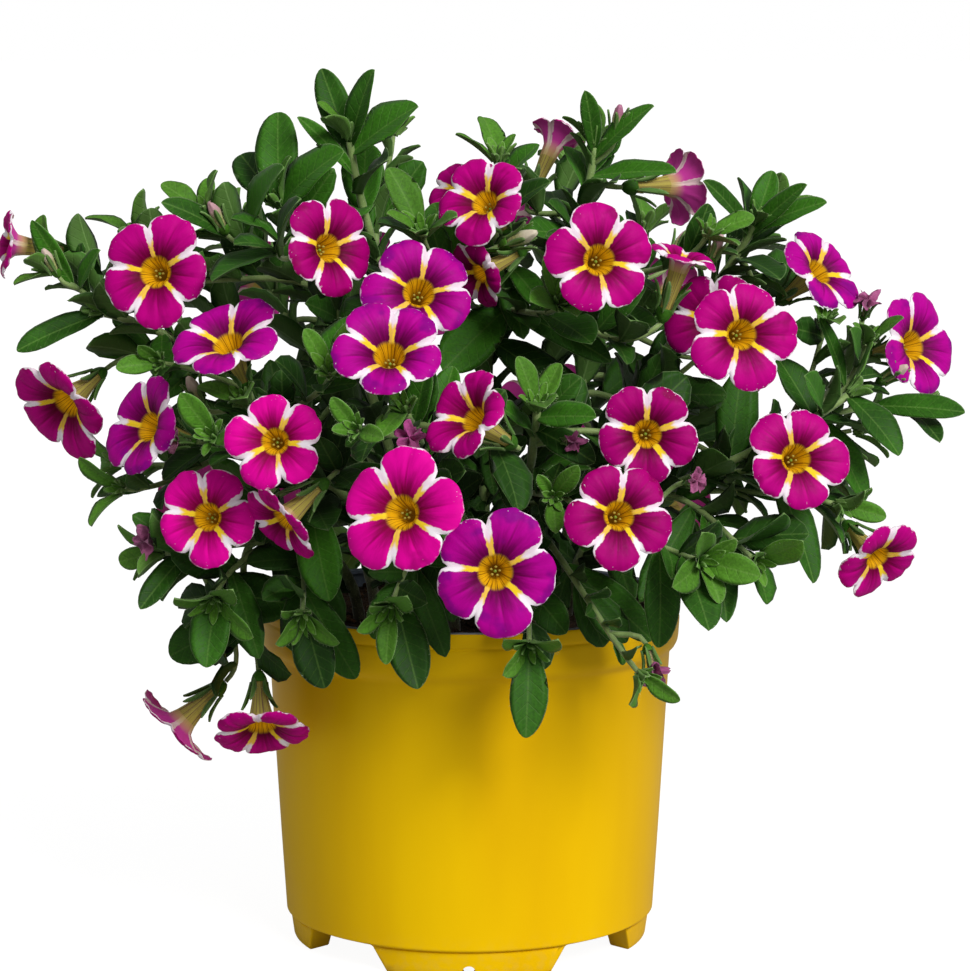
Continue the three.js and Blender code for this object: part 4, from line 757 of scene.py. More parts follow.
class Habit:
    """The whole plant as curves and blades, grown by the rules of the CAD source."""

    def __init__(self) -> None:
        """Places the flowers and trunks, then grows shoots, large leaves, rosettes and smaller leaves."""
        self.room = Room()
        base = POT.soil_level - POT.hole_depth + POT.fit_gap
        self.trunks = {
            name: np.array([(x, y, base), (x, y, rise), lean, end], float)
            for name, ((x, y), rise, lean, end) in STEMS.items()
        }
        self.blooms = [Bloom.from_row(f"flower_{number:02d}", row) for number, row in enumerate(FLOWERS, 1)]
        self.shoots: list[Shoot] = []
        self.leaves: dict[str, list[Leaf]] = {name: [] for name in STEMS}
        # each smaller leaf with the painted shade that darkens its colour
        self.fillers: dict[str, list[tuple[Leaf, float]]] = {name: [] for name in STEMS}
        self._reserve()
        self._grow_shoots()
        for stem, leaf in self._placed(LARGE_LEAVES, LARGE_RULE):
            self.leaves[stem].append(leaf)
        for index, shoot in enumerate(self.shoots):
            if shoot.tip:
                shoot.rosette = self._rosette(shoot, index)
        for index, shoot in enumerate(self.shoots):
            self.leaves[shoot.stem] += self._leaves_along(shoot, index)
        for stem, leaf in self._placed(GAP_LEAVES, GAP_RULE):
            self.fillers[stem].append((leaf, max(FILL.gap_dark, self._painted_shade(leaf))))
        for index, shoot in enumerate(self.shoots):
            for leaf in self._fill_leaves(shoot, index):
                self.fillers[shoot.stem].append((leaf, self._painted_shade(leaf)))

    def near(self, stem: str, spot: Sequence[float]) -> Array:
        """Point of a stem's shoots that lies nearest to a spot."""
        curves = [shoot.curve for shoot in self.shoots if shoot.stem == stem]
        spots = np.concatenate([curve_points(curve, 0.1, 2) for curve in curves])
        return spots[np.argmin(np.linalg.norm(spots - np.array(spot, float), axis=1))]

    def _hold(self, leaf: Leaf, stem: str, reach: float, own_share: float) -> bool:
        """Keeps the leaf's room if it is free."""
        points, free = leaf.points()
        if self.room.air(points, reach, stem, own_share, free) <= 0:
            return False
        self.room.fill(points, reach, stem)
        return True

    def _roomiest(self, choices: Iterable[tuple], stem: str, reach: float, own_share: float = 0.0) -> object:
        """First shape that finds room, or the one that finds most, with its room kept.

        Args:
            choices: each shape with its points and the number of the first one that counts.
            stem: the shape's owner.
            reach: half the points' spacing and half the shape's thickness.
            own_share: share of the reach that counts towards the same stem.

        Returns:
            The shape.
        """
        best, best_air, best_points = None, -math.inf, None
        for shape, points, free in choices:
            air = self.room.air(points, reach, stem, own_share, free)
            if air > best_air:
                best, best_air, best_points = shape, air, points
            if air > 0:
                break
        self.room.fill(best_points, reach, stem)
        return best

    @staticmethod
    def _painted_shade(leaf: Leaf) -> float:
        """Painted shade on a leaf inside the plant: how much darker its colour is drawn, from 0 at the plant's
        outside to 1.
        """
        depth = 1 - float(np.linalg.norm((leaf.base - CORE) / FILL.heart))
        return min(1.0, max(0.0, depth * FILL.darkening))

    def _reserve(self) -> None:
        """Keeps the room of flowers and trunks."""
        for bloom in self.blooms:
            limb, calyx, outlook = bloom.keep_out()
            self.room.fill(limb, GROWTH.limb_reach, bloom.name)
            self.room.fill(outlook, GROWTH.outlook_reach, bloom.name)
            self.room.fill(calyx, GROWTH.shoot_reach, bloom.stem)
        for name, trunk in self.trunks.items():
            self.room.fill(curve_points(trunk, 0, GROWTH.shoot_spacing), GROWTH.trunk_reach, name)

    def _grow_shoots(self) -> None:
        """Shoots to the flowers, then to the tips; the trunks count as shoots from then on."""
        for bloom in self.blooms:
            curve = self._shoot(bloom.stem, bloom.at, bloom.stalk_end(), bloom.face)
            self.shoots.append(Shoot(curve, bloom.stem, False, 23, bloom=bloom))
        for stem, at, end, round_deg, above_deg, leaf in TIPS:
            curve = self._shoot(stem, at, np.array(end, float), heading(round_deg, above_deg))
            self.shoots.append(Shoot(curve, stem, True, leaf))
        for stem, curve in self.trunks.items():
            self.shoots.append(Shoot(curve, stem, True, 20, trunk=True))

    def _shoot(self, stem: str, at: float, end: Array, face: Array) -> Array:
        """Curve from a stem to `end`, swung sideways or up by the first bend that leaves room."""
        trunk = self.trunks[stem]
        start, rising = curve_point(trunk, at), curve_tangent(trunk, at)
        length = float(np.linalg.norm(end - start))
        side = unit(np.cross(end - start, UP))
        leaving, arriving = GROWTH.handles

        def choices() -> Iterator[tuple]:
            """The curve with each bend."""
            for swing, lift in BENDS:
                shift = side * (swing * length) + UP * (lift * length)
                first, last = start + rising * (leaving * length), end - face * (arriving * length)
                curve = np.array([start, first + shift, last + shift, end])
                yield curve, curve_points(curve, 0.12, GROWTH.shoot_spacing), 0

        return self._roomiest(choices(), stem, GROWTH.shoot_reach)

    def _placed(self, rows: Sequence, rule: PlacedRule) -> Iterator[tuple[str, Leaf]]:
        """Leaves listed one by one, each from its stem's nearest point and as large as its room lets it be."""
        for index, (stem, start, tip, width) in enumerate(rows):
            base = self.near(stem, start)
            upper = UP * rule.up + unit(base - CORE) * rule.out + np.array([0, -rule.forward, 0])
            bend = spread(rule.least_bend, 0.6, noise(index, rule.seed, 7))
            for shrink in SHRINKS:
                end = base + (np.array(tip, float) - base) * shrink
                leaf = Leaf.between(base, end, upper, width * shrink, bend, rule.youth)
                if self._hold(leaf, stem, rule.reach, rule.own_share):
                    yield stem, leaf
                    break

    def _rosette(self, shoot: Shoot, index: int) -> list[Leaf]:
        """Five leaves round a growing tip, each as long as the free room lets it be."""
        tangent = curve_tangent(shoot.curve, 1.0)
        frame = ring_frame(tangent)
        leaves = []
        for i, angle in enumerate(FIFTHS):
            sideways = around(frame, 1, angle + TO_MIDDLE)
            lean = math.radians(spread(26, 60, noise(index, i, 11)))
            away = tangent * math.cos(lean) + sideways * math.sin(lean)
            base = shoot.curve[3] + tangent * (GROWTH.hub_height * 0.7) + sideways * (GROWTH.hub_radius * 0.8)
            full = shoot.leaf * spread(0.4, 0.85, noise(index, i, 12))
            slim, bend = spread(0.38, 0.52, noise(index, i, 13)), spread(0.3, 0.8, noise(index, i, 14))
            sizes = [Leaf.between(base, base + away * reach, tangent, reach * slim, bend, 0.7)
                     for reach in (full * scale for scale in GROWTH.rosette_scales)]
            choices = ((leaf, *leaf.points()) for leaf in sizes)
            leaves.append(self._roomiest(choices, shoot.stem, GROWTH.leaf_reach, GROWTH.own_share))
        return leaves

    def _leaves_along(self, shoot: Shoot, index: int) -> Iterator[Leaf]:
        """Leaves along a shoot: in a spiral, leaning outwards and to the light."""
        length = curve_length(shoot.curve)
        bare_end = GROWTH.bare_tip if shoot.tip else GROWTH.bare_stalk
        first = max(GROWTH.bare_start, length * GROWTH.leafy_from)
        count = math.floor((length - first - bare_end) / GROWTH.leaf_pitch) + 1
        places = [(1 - (bare_end + i * GROWTH.leaf_pitch) / length, 1.0) for i in range(count)]
        return self._spiral(shoot, index, places, GROWTH.leaf_reach, GROWTH.own_share)

    def _fill_leaves(self, shoot: Shoot, index: int) -> Iterator[Leaf]:
        """Smaller leaves between the others."""
        length = curve_length(shoot.curve)
        count = math.floor((FILL.leafy * length - FILL.bare_end) / FILL.pitch)
        places = [(1 - (FILL.bare_end + i * FILL.pitch) / length, spread(*FILL.scale, noise(index, i, 15)))
                  for i in range(count)]
        return self._spiral(shoot, index + FILL.first_seed, places, FILL.reach, FILL.own_share)

    def _spiral(self, shoot: Shoot, index: int, places: Sequence[tuple[float, float]], reach: float,
                own_share: float) -> Iterator[Leaf]:
        """Leaves at places along a shoot, each turned and scaled by the first of VARIANTS that finds room.

        Args:
            shoot: what they grow on.
            index: number that varies them.
            places: share of the way along the shoot and size of each leaf.
            reach: the room that a leaf keeps.
            own_share: share of it that it keeps from its own stem.

        Yields:
            The leaves that found room.
        """
        for i, (at, size) in enumerate(places):
            for twist, scale in VARIANTS:
                leaf = self._leaf_on(shoot, index, i, at, twist, scale * size)
                if self._hold(leaf, shoot.stem, reach, own_share):
                    yield leaf
                    break

    def _leaf_on(self, shoot: Shoot, index: int, i: int, at: float, twist: float, scale: float) -> Leaf:
        """Leaf number `i` of a shoot, turned by `twist` and scaled."""
        base = curve_point(shoot.curve, at)
        outward = unit(base - CORE)
        tangent = curve_tangent(shoot.curve, at)
        angle = i * GROWTH.golden_angle + index * 1.3 + noise(index, i, 1) * 0.8 + twist
        lean = math.radians(spread(50, 68, noise(index, i, 2)))
        sideways = around(ring_frame(tangent), 1, angle)
        away = unit(tangent * math.cos(lean) + sideways * math.sin(lean) + outward * 0.45 + UP * 0.1)
        reach = shoot.leaf * spread(0.8, 1.08, noise(index, i, 3)) * scale
        upper = tangent * 0.5 + UP * 0.6 + outward * 0.9
        width = reach * spread(0.48, 0.6, noise(index, i, 4))
        bend = spread(0.25, 0.9, noise(index, i, 5))
        return Leaf.between(base, base + away * reach, upper, width, bend, 0.2)


# ------------------------------------------------------------------ surfaces on grids (mm)

@dataclass
class Patch:
    """One closed surface: its points, its faces, the finish it wears, and values that the finish reads."""

    points: Array
    faces: tuple[Array, ...]
    finish: str
    values: dict[str, Array] = field(default_factory=dict)
    plane: Array | None = None


def grid_faces(rows: int, columns: int) -> Array:
    """Quads between neighbouring rows of a grid whose rows close on themselves."""
    r = np.arange(rows - 1)[:, None] * columns
    c = np.arange(columns)[None]
    d = (c + 1) % columns
    return np.stack([r + c, r + d, r + columns + d, r + columns + c], axis=-1).reshape(-1, 4)


def enclosed(points: Array, faces: Iterable[Array]) -> float:
    """Volume inside closed faces: the sum of the pyramids from the first point to each face."""
    total = 0.0
    for group in faces:
        corners = points[group] - points[0]
        for k in range(1, group.shape[1] - 1):
            total += float((corners[:, 0] * np.cross(corners[:, k], corners[:, k + 1])).sum())
    return total / 6


def shell(rings: Array, finish: str, values: dict[str, Array] | None = None,
          plane: Array | None = None) -> Patch:
    """Closed skin over rings of points, its faces pointing outwards.

    Args:
        rings: points of shape (rows, columns, 3); each row closes on itself.
        finish: name of the finish.
        values: for each name a number for each point, of shape (rows, columns) or one that spreads to it.
        plane: flat coordinates for the UV map, of shape (rows, columns, 2).

    Returns:
        The patch, closed at the first and last row by a fan to their middle.
    """
    rows, columns, _ = rings.shape

    def flat(grid: Array) -> Array:
        """Grid values as one list, with the middles of the first and last row at its end."""
        return np.concatenate([grid.reshape(rows * columns, -1), grid[[0, -1]].mean(1).reshape(2, -1)])

    points = flat(rings)
    c = np.arange(columns)
    last = (rows - 1) * columns
    ends = np.concatenate([
        np.stack([(c + 1) % columns, c, np.full(columns, rows * columns)], axis=-1),
        np.stack([last + c, last + (c + 1) % columns, np.full(columns, rows * columns + 1)], axis=-1),
    ])
    faces = (grid_faces(rows, columns), ends)
    if enclosed(points, faces) < 0:
        faces = tuple(group[:, ::-1] for group in faces)
    spread_out = {
        name: flat(np.broadcast_to(np.asarray(grid, float), (rows, columns)).astype(float)).ravel()
        for name, grid in (values or {}).items()
    }
    return Patch(points, faces, finish, spread_out, None if plane is None else flat(plane))


def transported(line: Array, first: Array) -> tuple[Array, Array]:
    """Two directions square to a line at each point, that turn as little as they can."""
    tangents = unit(np.gradient(line, axis=0))
    across = np.empty_like(line)
    across[0] = square(first, tangents[0])
    for k in range(1, len(line)):
        across[k] = square(across[k - 1], tangents[k])
    return across, np.cross(tangents, across)


def stalk(line: Array, radii: Array, sides: int, finish: str, values: dict[str, Array | float]) -> Patch:
    """Round stalk: a circle of each radius carried along a line, with both ends closed."""
    across, other = transported(line, ring_frame(unit(line[1] - line[0]))[0])
    angles = np.arange(sides) * TURN / sides
    offsets = across[:, None] * np.cos(angles)[None, :, None] + other[:, None] * np.sin(angles)[None, :, None]
    rings = line[:, None] + offsets * np.asarray(radii)[:, None, None]
    grids = {name: np.broadcast_to(np.reshape(v, (-1, 1)), (len(line), sides)) for name, v in values.items()}
    return shell(rings, finish, grids)


def lump(centre: Array, axes: Array, radii: Sequence[float], rows: int, sides: int, finish: str,
         values: dict[str, float] | None = None, roughness: float = 0.0, seed: int = 0) -> Patch:
    """Egg-shaped lump: circles of radius sin(v) at heights cos(v), stretched along three axes and dented."""
    v = np.linspace(0.12, math.pi - 0.12, rows)[:, None]
    a = (np.arange(sides) * TURN / sides)[None]
    dent = 1 + roughness * np.sin(3 * a + seed) * np.sin(2 * v + 1.7 * seed)
    dent = dent + roughness * np.cos(2 * a - seed * 2.3)
    local = np.stack([np.sin(v) * np.cos(a) * dent, np.sin(v) * np.sin(a) * dent, np.cos(v) + 0 * a], axis=-1)
    rings = centre + (local * np.asarray(radii)) @ axes
    return shell(rings, finish, {k: np.full((rows, sides), x) for k, x in (values or {}).items()})


# ------------------------------------------------------------------ leaves

@dataclass(frozen=True)
class BladeBuild:
    """How finely a blade is built, and the thickness of its skin."""

    stations: int = 14
    upper_columns: int = 7
    thickness: float = 0.42
    edge_thickness: float = 0.14
    rib_depth: float = 0.55
    groove: float = 0.16
    fullness: float = 1.06                   # width, for a leaf of the habit 1 wide
    roundness: float = 0.86                  # exponent of the habit's outline: lower for blunter ends


FULL_BLADE = BladeBuild()
SMALL_BLADE = BladeBuild(7, 5)
SEPAL_BLADE = BladeBuild(8, 5, thickness=0.5, edge_thickness=0.2, rib_depth=0.2, groove=0.1)


def blade(leaf: Leaf, seed: int, build: BladeBuild, finish: str, dark: float = 0.0) -> Patch:
    """Leaf as a closed skin: its section goes round over the upper side and back under it.

    The upper side is a soft V with a groove along the rib and a wavy margin, a sine along the leaf that grows
    with the square of the distance from the rib. The under side lies below it by the thickness, which thins
    towards the margin, and swells along the rib.

    Args:
        leaf: the leaf's rib, width and fold.
        seed: number that varies the leaf.
        build: sizes of the skin.
        finish: name of the finish.
        dark: how much painted shade darkens the leaf's colour, from 0 to 1.

    Returns:
        The patch, with its distance from rib and margin as values.
    """
    count = build.stations
    share = 0.5 - 0.5 * np.cos(np.pi * np.linspace(0.0, 1.0, count) ** 0.9)
    share = share * 0.998
    top = np.linspace(-1, 1, build.upper_columns)
    across = np.concatenate([top, top[-2:0:-1]])
    under = np.concatenate([np.zeros(build.upper_columns), np.ones(build.upper_columns - 2)])
    s, a = np.meshgrid(share, across, indexing="ij")
    u = np.broadcast_to(under, s.shape)
    half = leaf.width / 2 * build.fullness * leaf_outline(s) ** build.roundness
    wave = spread(0.25, 0.8, noise(seed, 1, 31)) * leaf.width / 10
    phase = TURN * noise(seed, 2, 31)
    margin = wave * np.sin(TURN * 1.6 * s + phase + np.sign(a) * 1.1) * a * a * np.sin(np.pi * s)
    groove = -build.groove * np.exp(-((a * half) / 0.5) ** 2) * np.sin(np.pi * s)
    depth = spread(build.edge_thickness, build.thickness, 1 - np.abs(a))
    keel = build.rib_depth * np.exp(-((a * half) / 0.55) ** 2) * (1 - 0.75 * s)
    over = margin + groove * (1 - u) - u * (depth + keel)
    twist = spread(-0.3, 0.3, noise(seed, 3, 31)) * s
    points = leaf.at(s, a * half / (leaf.width / 2 * leaf_outline(s)), over, twist)
    youth = leaf.youth + 0.12 * (noise(seed, 4, 31) - 0.5)
    values = {"rib": np.abs(a) * half, "edge": (1 - np.abs(a)) * half, "along": s * leaf.length, "under": u}
    for name, value in (("youth", youth), ("tint", noise(seed, 5, 31)), ("dark", dark)):
        values[name] = np.full_like(s, value)
    return shell(points, finish, values)


def margin_roots(leaf: Leaf, seed: int, count: int) -> tuple[Array, Array]:
    """Places along a leaf's margin and the directions that its hairs take there."""
    k = np.arange(count)
    share = 0.08 + 0.9 * (k + 0.5) / count
    sign = np.where(k % 2 == 0, 1.0, -1.0)
    points = leaf.at(share, sign, 0 * share, 0 * share)
    jitter = np.sin(k * 12.9 + seed) * 0.5
    away = leaf.side[None] * sign[:, None] + leaf.start[None] * (0.5 + jitter)[:, None]
    return points, unit(away + leaf.normal[None] * 0.3)


def hairs(points: Array, away: Array, length: float, seed: int, half_width: float = 0.045) -> Patch:
    """Short hairs as slim triangles that stand on points, each leaning its own way."""
    k = np.arange(len(points))
    size = length * (0.6 + 0.4 * np.sin(k * 7.31 + seed) ** 2)
    side = unit(np.cross(away, np.stack([np.sin(k * 3.1), np.cos(k * 5.7), np.sin(k * 1.3 + 1)], axis=-1)))
    lean = unit(away + side * (0.35 * np.sin(k * 2.3))[:, None])
    tips = points + lean * size[:, None]
    foot = side * half_width
    corners = np.stack([points - foot, points + foot, tips], axis=1).reshape(-1, 3)
    return Patch(corners, (np.arange(len(corners)).reshape(-1, 3),), "hair")


# ------------------------------------------------------------------ flowers

@dataclass
class Corolla:
    """The coloured part of one flower: throat, limb of five joined petals, and tube."""

    bloom: Bloom
    seed: int
    columns: int = 100
    throat_depth: float = 9.0
    throat_radius: float = 0.9
    rim_thickness: float = 0.22
    heart_thickness: float = 0.55
    neck_depth: float = 2.0
    tube_wall: float = 0.5
    tube_reach: float = 14.0                 # a little into the calyx

    def angles(self) -> Array:
        """Angles of the columns, the first on a stripe."""
        return self.bloom.turn + np.arange(self.columns) * TURN / self.columns

    def relief(self, share: Array, angle: Array) -> Array:
        """Unevenness of the limb, along the flower's axis.

        Slow waves round the limb that grow with the square of the distance, a lift or droop of each petal,
        a swelling and a crease along each petal's middle, a furrow along each stripe, and an edge that rolls
        back.
        """
        relative = angle - self.bloom.turn
        waves = np.zeros_like(share)
        for m in (2, 3, 4, 7):
            strength = 0.6 * noise(self.seed, m, 41) / (1 if m < 5 else 2.5)
            waves += strength * np.sin(m * relative + TURN * noise(self.seed, m, 42))
        petal = np.floor(relative / (TURN / 5)).astype(int) % 5
        tilt = np.array([noise(self.seed, j, 43) - 0.6 for j in range(5)])[petal]
        middle = np.abs(np.sin(2.5 * relative))
        from_middle = (TO_MIDDLE - np.arcsin(np.clip(middle, 0, 1)) / 2.5) * self.bloom.radius * share
        crease = -0.32 * np.exp(-(from_middle / 0.55) ** 2) * np.sin(np.pi * np.clip(share, 0, 1)) ** 0.5
        from_stripe = np.arcsin(np.clip(middle, 0, 1)) / 2.5 * self.bloom.radius * share
        furrow = -0.75 * np.exp(-(from_stripe / 1.3) ** 2) * share
        dome = 0.8 * middle**1.5 * np.sin(np.pi * 0.9 * np.clip(share, 0, 1))
        roll = -0.55 * np.clip((share - 0.84) / 0.16, 0, 1) ** 2
        heart = -0.7 * np.clip(1 - share / 0.14, 0, 1) ** 2
        frill = 0.13 * np.sin(23 * relative + TURN * noise(self.seed, 1, 44)) * share**6
        swing = waves * share**2 + 1.8 * tilt * middle * share**2
        return swing + crease + furrow + dome + roll + heart + frill

    def rim(self, angle: Array) -> Array:
        """The bloom's rim with a slight dip in the middle of each petal and a ragged edge."""
        relative = angle - self.bloom.turn
        middle = np.abs(np.sin(2.5 * relative))
        dip = 0.018 * np.exp(-((1 - middle) / 0.02) ** 2)
        ragged = 0.006 * np.sin(17 * relative + self.seed) + 0.003 * np.sin(31 * relative + 2 * self.seed)
        fuller = FLOWER.notch_depth * 0.75 * (middle**0.45 - middle**FLOWER.petal_roundness)
        return self.bloom.rim(angle) * (1 - dip + ragged + fuller)

    def rings(self, angle: Array) -> Iterator[tuple[Array, Array, float, float, float]]:
        """Rings from the throat over the rim to the tube's end: radius, height, share, back and tube."""
        bloom, rim = self.bloom, self.rim(angle)
        flutes = 1 + 0.05 * np.cos(5 * (angle - bloom.turn))

        def limb(share: float, back: float, thickness: float) -> tuple[Array, Array, float, float, float]:
            """Ring of the limb, on its face or on its back."""
            rise = bloom.rise(share, angle) + self.relief(share + 0 * angle, angle) - thickness
            return bloom.mouth + (rim - bloom.mouth) * share, rise, share, back, 0.0

        for depth in np.linspace(1, 0, 9)[:-1]:
            inner = spread(self.throat_radius, bloom.mouth, (1 - depth) ** 1.35)
            yield inner * flutes, -self.throat_depth * depth - 0.7 + 0 * angle, -depth, 0.0, 0.0
        for share in (*np.linspace(0, 0.8, 13), 0.87, 0.93, 0.965, 0.985, 1.0):
            yield limb(share, 0.0, 0.0)
        for share in (0.995, 0.96, 0.88, 0.74, 0.58, 0.42, 0.27, 0.14):
            yield limb(share, 1.0, spread(self.heart_thickness, self.rim_thickness, share))
        for along in np.linspace(0, 1, 9):
            depth = spread(self.neck_depth, self.tube_reach, along)
            radius = spread(FLOWER.tube_base_radius, bloom.mouth + self.tube_wall, (1 - along) ** 1.5)
            yield radius * flutes, -depth + 0 * angle, 0.0, 1.0, 0.02 + 0.98 * along

    def patches(self) -> list[Patch]:
        """The corolla, and the anthers and stigma in its throat."""
        bloom, angle = self.bloom, self.angles()
        out, rise, share, back, tube = (np.array(column) for column in zip(*self.rings(angle)))
        share, back, tube = share[:, None], back[:, None], tube[:, None]
        relative = angle[None] - bloom.turn
        from_stripe = np.arcsin(np.abs(np.sin(2.5 * relative))) / 2.5
        values = {
            "share": share, "back": back, "tube": tube, "stripe": from_stripe * out,
            "middle": (TO_MIDDLE - from_stripe) * out, "rim": self.rim(angle)[None] - out,
        }
        plane = np.stack([out * np.cos(relative), out * np.sin(relative)], axis=-1) / 40 + 0.5
        skin = shell(bloom.place(out, angle[None], rise), f"petal_{bloom.tone.value}", values, plane)
        return [skin, *self.anthers()]

    def anthers(self) -> list[Patch]:
        """Five small anthers round a stigma, just below the mouth."""
        bloom = self.bloom
        axes = np.stack([bloom.right, bloom.upper, bloom.face])
        found = []
        for i, angle in enumerate(FIFTHS):
            where = bloom.place(np.array(1.15), np.array(angle + self.seed), np.array(-3.0 - 0.6 * (i % 2)))
            found.append(lump(where, axes, (0.42, 0.36, 0.5), 5, 8, "anther"))
        centre = bloom.place(np.array(0.0), np.array(0.0), np.array(-3.6))
        found.append(lump(centre, axes, (0.5, 0.5, 0.5), 5, 8, "stigma"))
        return found


@dataclass
class Calyx:
    """Green cup that holds a flower's tube, with five strap-shaped sepals."""

    centre: Array                            # middle of the cup's edge
    face: Array
    seed: int
    height: float = 3.9
    radius: float = 2.3
    sepal_reach: float = 5.4
    sepal_length: float = 7.5
    sepal_width: float = 1.9
    youth: float = 0.45

    def sepals(self) -> list[Leaf]:
        """Five sepals that rise from the cup's edge and lean out."""
        frame = ring_frame(self.face)
        found = []
        for i, angle in enumerate(FIFTHS):
            across = around(frame, 1, angle + TO_MIDDLE)
            base = self.centre + across * (self.radius * 0.88) - self.face * 0.9
            stretch = spread(0.9, 1.12, noise(self.seed, i, 51))
            away = across * (self.sepal_reach * stretch)
            tip = self.centre + away + self.face * (self.sepal_length * stretch)
            bend = spread(-0.1, 0.75, noise(self.seed, i, 52))
            found.append(Leaf.between(base, tip, -across, self.sepal_width, bend or 0.1, self.youth))
        return found

    def patches(self) -> list[Patch]:
        """Cup and sepals. The cup's profile widens quickly from the stalk and turns in over its edge."""
        frame = ring_frame(self.face)
        angle = np.arange(20) * TURN / 20
        profile = np.array([
            (0.85, -1.0), (1.35, -0.86), (1.8, -0.66), (2.12, -0.4), (2.28, -0.12), (2.3, 0.0), (2.1, 0.05),
            (1.9, -0.06), (1.7, -0.3),
        ])
        radius = profile[:, :1] * (self.radius / 2.3) * (1 + 0.07 * np.cos(5 * (angle[None] - TO_MIDDLE)))
        around_axis = np.cos(angle)[None, :, None] * frame[0] + np.sin(angle)[None, :, None] * frame[1]
        rise = (profile[:, 1] * self.height)[:, None, None]
        rings = self.centre + radius[..., None] * around_axis + rise * self.face
        ribs = 0.3 + 1.2 * np.abs(np.sin(2.5 * angle))[None]
        cup = shell(rings, "leaf", {"rib": ribs, "edge": 2.0, "youth": self.youth, "tint": 0.5})
        sepals = [blade(leaf, 5 * self.seed + i, SEPAL_BLADE, "leaf") for i, leaf in enumerate(self.sepals())]
        fringe = [hairs(*margin_roots(leaf, self.seed, 18), 0.7, self.seed) for leaf in self.sepals()]
        return [cup, *sepals, *fringe]


# ------------------------------------------------------------------ stems

@dataclass
class StemDress:
    """One stem with its side shoots, calyxes and leaves, dressed finely."""

    habit: Habit
    name: str
    trunk_root_radius: float = 1.65
    trunk_end_radius: float = 1.05
    shoot_root_radius: float = 1.05
    shoot_end_radius: float = 0.68
    step: float = 2.4
    hair_length: float = 0.75
    shaded_below: float = 135.0                 # leaves that start below this height are drawn darker with painted shade
    shade_over: float = 45.0                   # height over which that painted shade deepens
    # the most painted shade that the lowest leaves get
    deepest_low_shade: float = 0.6

    def wood(self, shoot: Shoot, index: int) -> list[Patch]:
        """Stalk of a shoot, thinning to its end, with faint swellings, and the hairs that stand on it."""
        length = curve_length(shoot.curve)
        count = max(6, math.ceil(length / self.step))
        share = np.linspace(0, 1, count + 1)
        line = curve_point(shoot.curve, share)
        first, last = ((self.trunk_root_radius, self.trunk_end_radius) if shoot.trunk
                       else (self.shoot_root_radius, self.shoot_end_radius))
        swelling = 1 + 0.1 * np.sin(share * length / GROWTH.leaf_pitch * TURN + index) ** 8
        radii = spread(first, last, share) * swelling
        # woody brown near the soil, and drawn dark there also as painted shade under the foliage
        woody = np.clip(1 - (line[:, 2] - POT.soil_level) / 40, 0, 1) * (1 if shoot.trunk else 0.4)
        sides = 10 if shoot.trunk else 8
        skin = stalk(line, radii, sides, "shoot", {"woody": woody, "along": share * length})
        number = int(length * 1.1)
        at = (np.arange(number) + 0.5) / number
        tangents = curve_tangent(shoot.curve, at)
        turn = np.arange(number) * GROWTH.golden_angle
        first_axis = unit(np.cross(tangents, np.array([0.3, 0.4, 0.86])))
        other_axis = np.cross(tangents, first_axis)
        radial = first_axis * np.cos(turn)[:, None] + other_axis * np.sin(turn)[:, None]
        roots = curve_point(shoot.curve, at) + radial * (spread(first, last, at) * 0.95)[:, None]
        return [skin, hairs(roots, radial, self.hair_length, index)]

    def patches(self) -> list[Patch]:
        """All surfaces of the stem."""
        found: list[Patch] = []
        for index, shoot in enumerate(self.habit.shoots):
            if shoot.stem != self.name:
                continue
            found += self.wood(shoot, index)
            if shoot.bloom:
                bloom = shoot.bloom
                centre = bloom.throat - bloom.face * (FLOWER.tube_length - 0.2)
                found += Calyx(centre, bloom.face, index).patches()
            for i, leaf in enumerate(shoot.rosette):
                found.append(blade(leaf, 7 * index + i, FULL_BLADE, "leaf"))
                found.append(hairs(*margin_roots(leaf, index + i, 24), 0.55, index + i))
            if shoot.tip:
                found += self.heart(shoot, index)
        for index, leaf in enumerate(self.habit.leaves[self.name]):
            # painted shade: leaves low on the plant are drawn darker the lower they start
            low_shade = self.deepest_low_shade * float(ease(np.clip((self.shaded_below - leaf.base[2]) / self.shade_over, 0, 1)))
            found.append(blade(leaf, 1000 + index, FULL_BLADE, "leaf", low_shade))
            found.append(hairs(*margin_roots(leaf, index, 34), 0.55, index))
        for index, (leaf, dark) in enumerate(self.habit.fillers[self.name]):
            found.append(blade(leaf, 2000 + index, SMALL_BLADE, "leaf", dark))
        return found

    def heart(self, shoot: Shoot, index: int) -> list[Patch]:
        """Unfolding leaves in the middle of a growing tip, steeper and shorter towards the middle."""
        end = shoot.curve[3]
        tangent = curve_tangent(shoot.curve, 1.0)
        frame = ring_frame(tangent)
        found = []
        for i in range(7):
            sideways = around(frame, 1, i * GROWTH.golden_angle + index)
            lean = math.radians(spread(8, 42, (i + 0.5) / 7))
            reach = shoot.leaf * spread(0.2, 0.42, (i + 0.5) / 7)
            base = end + tangent * 0.6 + sideways * 0.4
            tip = base + (tangent * math.cos(lean) + sideways * math.sin(lean)) * reach
            leaf = Leaf.between(base, tip, tangent - sideways, reach * 0.36, -0.35 + 0.08 * i, 0.95)
            found.append(blade(leaf, 3000 + 11 * index + i, SMALL_BLADE, "leaf"))
        return found


# ------------------------------------------------------------------ buds and spent flowers

class SprigKind(Enum):
    """What a short side stalk ends in."""

    BUD = "bud"
    SPENT = "spent"


